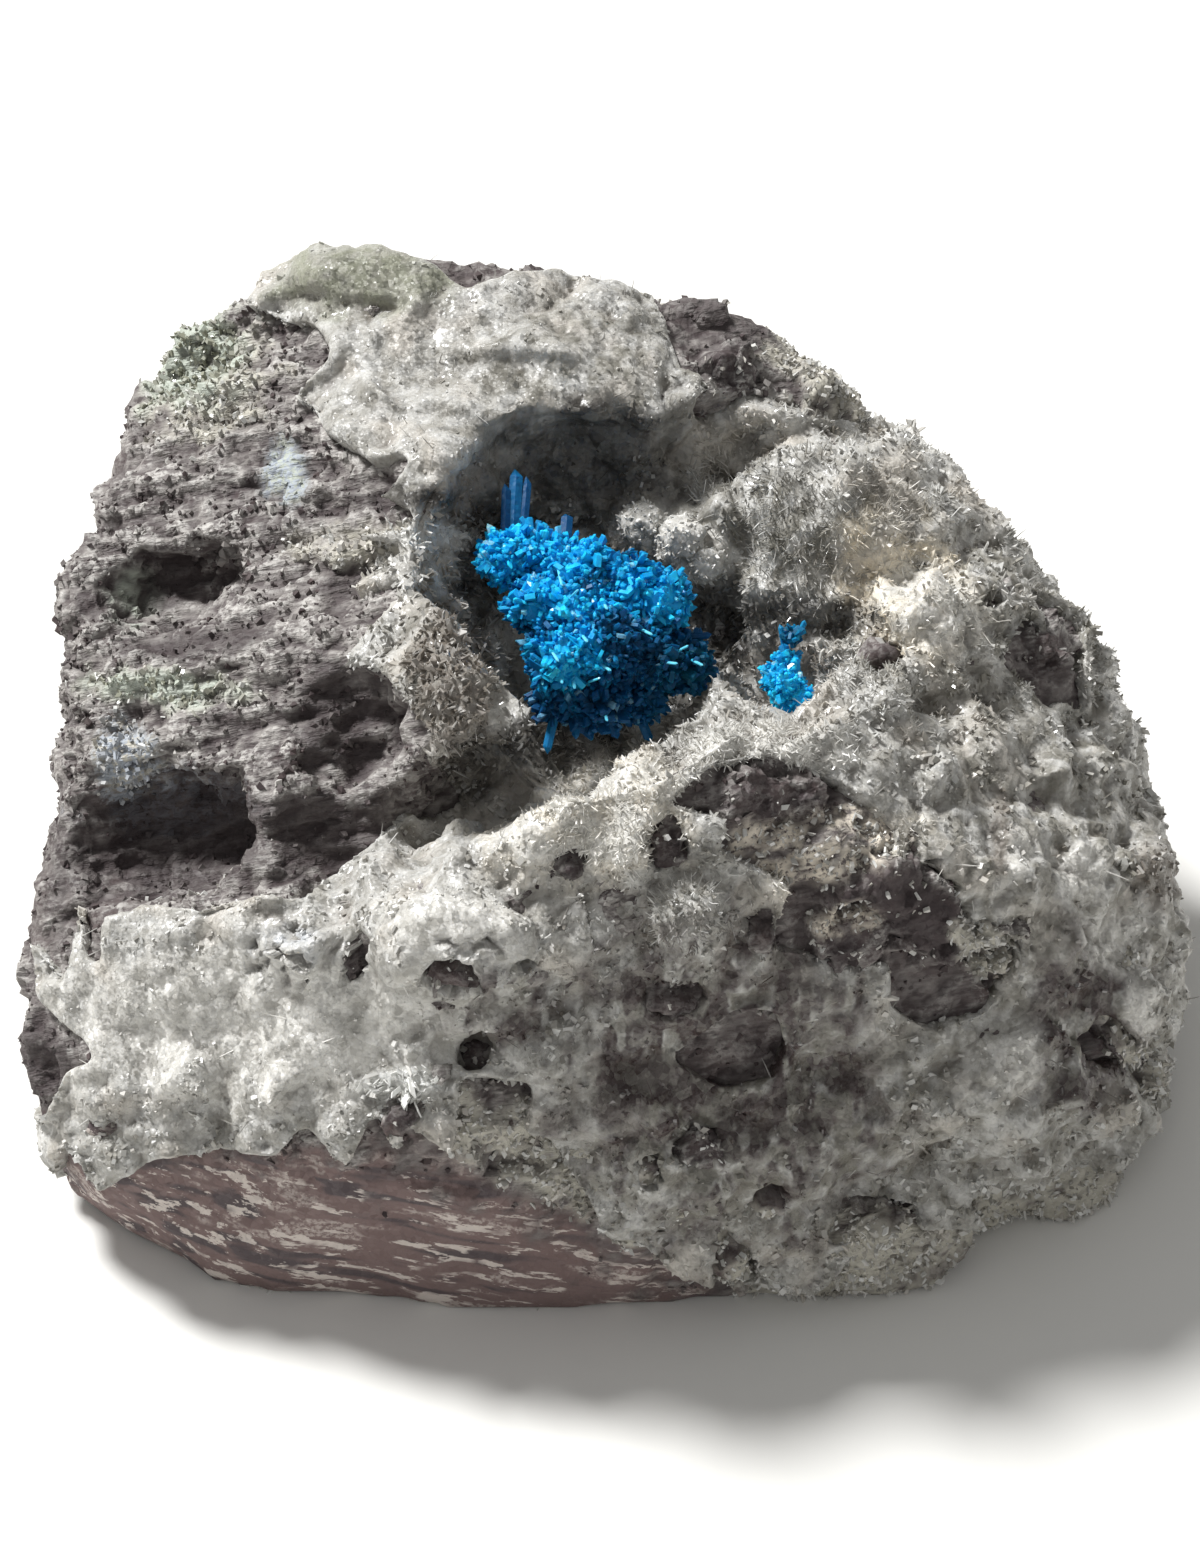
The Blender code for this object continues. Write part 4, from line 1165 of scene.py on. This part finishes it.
def makeStilbiteFields(surface, masks, stoneSurface, film):
    finish = crystalFinish()
    shapes = stilbiteShapes()
    points = pointArray(surface.data)
    a, u, _ = seenPlaces(points)
    facing = normalArray(surface.data) @ np.array(towardWay)
    shown = smoothStep(facing, -0.7, -0.3)
    edge = smoothStep(np.abs(facing), 0.05, 0.45)       # crystals are shorter along the outline
    clear = ovalMask(a, u, {"small fans": (10.4, 5.6, 2.2, 3.0, 0)}, 0.5)
    ground = masks["upper"] * shown
    patchy = np.clip(0.6 + 1.3 * noiseField(points, 1.6, 3, 12), 0.08, 1.2)
    patchy = np.maximum(patchy, masks["shade"])
    grow = ground * patchy * (1 - 0.95 * masks["bald"]) * (1 - 0.6 * masks["ball"])
    grow *= (1 - 0.6 * masks["sparse"]) * (1 - 0.7 * clear) * (1 - 0.6 * masks["felt"])
    size = np.clip(1 + 0.5 * noiseField(points, 2.2, 3, 14) - 0.3 * clear - 0.2 * masks["sparse"], 0.5, 1.7)
    size *= 0.5 + 0.5 * edge
    for seed, (name, field) in enumerate(stilbiteFields.items(), 21):
        inside = (a >= field["across"][0]) & (a < field["across"][1])
        inside &= (u >= field["up"][0]) & (u < field["up"][1])
        kind = field["kind"]
        growStilbite(name, surface, shapes[kind], finish, grow * inside, size,
                     {**field, "sunk": stilbiteSunk[kind]}, seed)
    makeBalls(surface, surface.data.materials[0], finish, shapes["sugar"])
    even = 0.4 + 0.6 * edge
    tufts = smoothStep(noiseField(points, 2.5, 3, 41), -0.1, 0.5)
    for name, where in (("stilbiteFibres", masks["ball"]), ("stilbiteNeedles", tufts * (1 - masks["bald"])),
                        ("stilbiteSpikes", masks["white"] * (u < 0)), ("stilbiteFelt", masks["felt"])):
        extra = stilbiteExtras[name]
        growStilbite(name, surface, shapes[extra["kind"]], finish, where * ground * (1 - clear), even,
                     extra, extra["seed"])
    extra = stilbiteExtras["stilbiteFilm"]
    growStilbite("stilbiteFilm", stoneSurface, shapes[extra["kind"]], finish, film, np.ones(len(film)),
                 extra, extra["seed"])


# The cavansite fans

fan = {
    "middle": (-1.22, 0.39, 27.43),
    "core": 0.76,                   # the solid part's share of a lobe's radius
    "bumps": 0.35,
    # across, up, radius, step toward the eye
    "lobes": [
        (-5.2, 12.0, 1.7, -1.0), (-3.8, 12.4, 1.6, -1.0), (-2.2, 11.9, 1.6, -0.8), (-0.6, 11.2, 1.8, -0.6),
        (-3.3, 9.4, 2.0, 0.3), (-1.3, 9.3, 2.2, 0.5), (1.6, 10.6, 1.9, -0.4), (3.4, 9.8, 1.9, -0.3),
        (-2.0, 6.8, 2.4, 0.9), (0.2, 7.4, 2.6, 0.9), (2.8, 6.6, 2.4, -0.4), (4.6, 6.2, 1.8, -0.9),
        (-2.0, 4.6, 1.9, -0.2), (0.0, 4.4, 2.0, -0.2), (2.2, 4.4, 1.7, -1.0),
    ],
    # root and tip as across, up and step, then width and painted brightness, low for the prisms that lie in
    # shade
    "prisms": [
        ((-4.9, 12.2, -1.4), (-4.6, 17.0, -3.0), 0.9, 0.1), ((-5.3, 12.2, -1.2), (-5.2, 16.2, -2.6), 0.6, 0),
        ((-4.4, 12.0, -1.2), (-4.0, 16.6, -2.9), 0.6, 0), ((-2.0, 12.0, -1.2), (-1.8, 14.5, -3.0), 0.8, 0),
        ((-2.5, 12.0, -1.2), (-2.6, 13.6, -2.6), 0.5, 0.1),
        ((-5.4, 11.8, -0.8), (-6.2, 14.0, -0.7), 0.45, 1.2),
        ((-5.8, 11.6, -0.8), (-6.0, 13.0, -0.6), 0.35, 1), ((-4.6, 12.2, -0.8), (-4.4, 14.0, -0.8), 0.8, 1),
        ((-2.2, 4.8, 0.2), (-3.0, 1.2, 0.3), 0.6, 0.2), ((-1.0, 4.4, 0.2), (-1.4, 2.0, 0.2), 0.5, 0.1),
        ((0.4, 4.4, 0.0), (0.9, 2.0, -0.4), 0.6, 0), ((1.6, 4.8, -0.2), (2.8, 1.8, -0.8), 0.6, 0),
        ((3.6, 6.4, -0.5), (5.9, 5.6, -0.7), 0.5, 0), ((4.2, 7.6, -0.5), (6.2, 7.8, -0.5), 0.45, 0),
    ],
    # the pale rods: root, tip and step
    "rods": [
        (-3.2, 5.9, -3.2, 5.0, 0.9), (-2.2, 5.6, -2.1, 5.1, 1.8), (-1.5, 5.4, -1.4, 4.8, 1.6),
        (-0.6, 5.2, 0.0, 5.4, 1.7), (0.0, 6.2, 0.6, 5.8, 2.0), (0.2, 3.7, 0.4, 3.0, 0.8),
        (-2.8, 7.1, -2.3, 6.3, 2.2), (-2.3, 11.4, -2.1, 10.5, 0.8), (3.4, 6.3, 4.3, 6.2, 1.2),
        (5.1, 6.4, 5.7, 6.1, 0.3), (4.1, 6.8, 4.9, 7.2, 0.6), (2.1, 8.2, 2.9, 7.8, 1.3),
        (1.0, 7.6, 1.5, 7.7, 1.8), (-1.0, 7.8, -0.7, 7.4, 2.4), (0.1, 9.8, 0.4, 9.2, 1.6),
        (-3.5, 6.3, -3.5, 5.3, 0.9), (-4.0, 10.0, -4.4, 10.3, 1.2), (-1.6, 9.9, -1.2, 10.3, 1.8),
    ],
    # painted light: the patches of the fan that light falls on, painted brighter
    "bright": {
        "top band": (-2.3, 12.1, 3.2, 1.9, 0), "left": (-5.3, 12.4, 1.6, 2.4, 0),
        "middle": (-2.2, 9.5, 3.2, 2.0, 0), "right": (2.8, 10.1, 3.2, 1.9, -10),
        "centre": (-1.7, 6.9, 2.6, 2.3, 0),
    },
    "perMm": 17.0,
    "long": (0.3, 0.78),
    "slim": 0.6,
    "lean": 1.3,
    "sunk": 0.1,
}

smallFan = {
    "core": 0.72,
    "bumps": 0.3,
    "lobes": [
        (10.3, 5.0, 1.4, 0.9), (11.3, 4.2, 1.0, 1.1), (9.6, 5.4, 0.9, 0.9), (10.3, 6.3, 0.8, 0.7),
        (10.6, 7.7, 0.6, 0.7), (12.0, 3.7, 0.6, 1.1),
    ],
    "prisms": [
        ((10.4, 6.2, 0.5), (10.0, 8.4, 0.5), 0.4, 0.4), ((10.8, 7.4, 0.5), (11.4, 8.6, 0.5), 0.35, 0.4),
        ((10.2, 5.6, 0.6), (8.7, 6.0, 0.7), 0.35, 1), ((11.2, 4.6, 0.6), (12.6, 3.8, 0.7), 0.35, 1),
    ],
    # painted light: the whole small fan painted as lit
    "bright": {
        "all": (10.6, 5.0, 4.4, 3.4, 0),
    },
    "rods": [(11.6, 4.2, 12.3, 3.8, 1.4), (9.4, 5.6, 8.9, 5.8, 1.2)],
    "perMm": 18.0,
    "long": (0.25, 0.5),
    "slim": 0.7,
    "lean": 1.2,
    "sunk": 0.1,
}


def fanHeart(name, values, base):
    # lumpy lobes that the crystals grow from, and the long prisms
    bm = bmesh.new()
    for a, u, radius, step in values["lobes"]:
        core = radius * values["core"] * mm
        made = bmesh.ops.create_icosphere(bm, subdivisions=3, radius=core)
        for vert in made["verts"]:
            vert.co *= 1 + values["bumps"] * noise.noise(vert.co / (0.6 * mm) + Vector((a, u, 0)))
        bmesh.ops.translate(bm, vec=placeSeen(a, u, base + step), verts=made["verts"])
    lobeCount = len(bm.verts)
    tips, tints, lights = [0.5] * lobeCount, [0.5] * lobeCount, [1.0] * lobeCount
    shape = prismShape(name + " prism", 6, 0.75, 0.92, 0.1, 0.3)
    rods = [((a, u, step + 0.3), (b, v, step + 1.2), 0.2, 1.1) for a, u, b, v, step in values["rods"]]
    for root, tip, width, light in values["prisms"] + rods:
        first = len(bm.verts)
        bm.from_mesh(shape)
        foot, head = (placeSeen(a, u, base + step) for a, u, step in (root, tip))
        turn = (head - foot).to_track_quat("Z", "Y").to_matrix().to_4x4()
        grown = Matrix.Diagonal((width * mm, width * mm, (head - foot).length, 1))
        bmesh.ops.transform(bm, matrix=Matrix.Translation(foot) @ turn @ grown, verts=bm.verts[first:])
        tips += [0.3 + 0.65 * v.co.z for v in shape.vertices]
        tints += [0.3 + 0.6 * light] * len(shape.vertices)
        lights += [light] * len(shape.vertices)
    mesh = meshFrom(bm, name)
    setMask(mesh, "tip", tips)
    setMask(mesh, "tint", tints)
    return mesh, lobeCount, np.array(lights)


def makeFans(name, node, values, finish, base, shadeMask, seed):
    shapes = shapeSet(name + " crystals", [
        prismShape(name + "Needle", 6, 0.8, 0.9, 0.14, 0.2),
        prismShape(name + "Rod", 4, 0.7, 0.95, 0.12, 0.4),
        bladeShape(name + "Block", 0.6, 0.3, 0.85),
    ])
    mesh, lobeCount, lights = fanHeart(name + "Heart", values, base)
    heart = addObject(name + "Heart", mesh, finish)
    points = pointArray(mesh)
    a, u, _ = seenPlaces(points)
    setMask(mesh, "teal", shadeMask(a, u))
    # painted light on the lit patches; the prisms keep their own painted brightness
    bright = ovalMask(a, u, values["bright"], 0.5, noiseField(points, 1.0, 2, seed) * 0.5)
    setMask(mesh, "bright", np.where(np.arange(len(points)) < lobeCount, bright, lights))
    grow = smoothStep(normalArray(mesh) @ np.array(towardWay), -0.7, -0.3)
    grow[lobeCount:] = 0
    size = np.clip(1 + 0.5 * noiseField(points, 1.2, 2, seed), 0.6, 1.6)
    crystals = scatter(name + "Crystals", heart, {"grow": grow, "size": size}, shapes, finish, values, seed)
    for obj in (heart, crystals):
        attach(obj, "root")
    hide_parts(node)


def makeCavansite():
    finish = cavansiteFinish()
    base = (Vector(fan["middle"]) * mm - aimPoint).dot(towardWay) / mm
    # a teal tint with painted shade on the big fan's lower right, and a teal tint on the small fan's top
    makeFans("cavansite", "cavansite_cluster", fan, finish, base,
             lambda a, u: smoothStep(a, 1.5, 4.5) * smoothStep(-u, -8.0, -6.5), 41)
    low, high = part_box("cavansite_small")
    base = ((Vector(low) + Vector(high)) / 2 - aimPoint).dot(towardWay) / mm
    makeFans("cavansiteSmall", "cavansite_small", smallFan, finish, base,
             lambda a, u: smoothStep(u, 6.4, 7.4), 47)


# The setting

setting = {
    "floor": colour(238, 237, 233),
    "floorSize": 3.0,               # metres
    "sky": 0.34,
    "sunWay": (-0.5, 0.43, 0.76),
    "sunPower": 5.0,
    "sunSoftness": 12,              # degrees
}


def makeSetting():
    bm = bmesh.new()
    bmesh.ops.create_grid(bm, x_segments=1, y_segments=1, size=setting["floorSize"] / 2)
    material, make = newFinish("floor pale")
    finishWith(make, {"Base Color": setting["floor"], "Roughness": 0.9})
    mesh = meshFrom(bm, "floor")
    addObject("floor", mesh, material)
    world = bpy.data.worlds.new("studio")
    world.use_nodes = True
    back = world.node_tree.nodes["Background"]
    back.inputs["Color"].default_value = (1, 1, 1, 1)
    back.inputs["Strength"].default_value = setting["sky"]
    bpy.context.scene.world = world
    sun = bpy.data.lights.new("sun", "SUN")
    sun.energy = setting["sunPower"]
    sun.angle = math.radians(setting["sunSoftness"])
    lamp = bpy.data.objects.new("sun", sun)
    lamp.rotation_euler = Vector(setting["sunWay"]).to_track_quat("Z", "Y").to_euler()
    bpy.context.scene.collection.objects.link(lamp)
    bpy.context.scene.view_settings.view_transform = "Standard"


def makeCamera():
    camera = bpy.data.cameras.new("camera")
    camera.sensor_fit = "HORIZONTAL"
    camera.sensor_width = 36
    camera.lens = look["lens"]
    camera.clip_start, camera.clip_end = 0.01, 20
    obj = bpy.data.objects.new("camera", camera)
    turn = Matrix((acrossWay, upWay, towardWay)).transposed().to_4x4()
    obj.matrix_world = Matrix.Translation(aimPoint + towardWay * look["distance"] * mm) @ turn
    bpy.context.scene.collection.objects.link(obj)
    bpy.context.scene.camera = obj


makeCamera()
makeSetting()
crystalTree = scatterTree()
block, blockMasks, plainStone = makeStone()
makeGrit(block, blockMasks)
crustPiece, crustShape = makeCrust(plainStone)
makeStilbiteFields(crustPiece, crustShape, block, blockMasks["crumbs"])
makeCavansite()
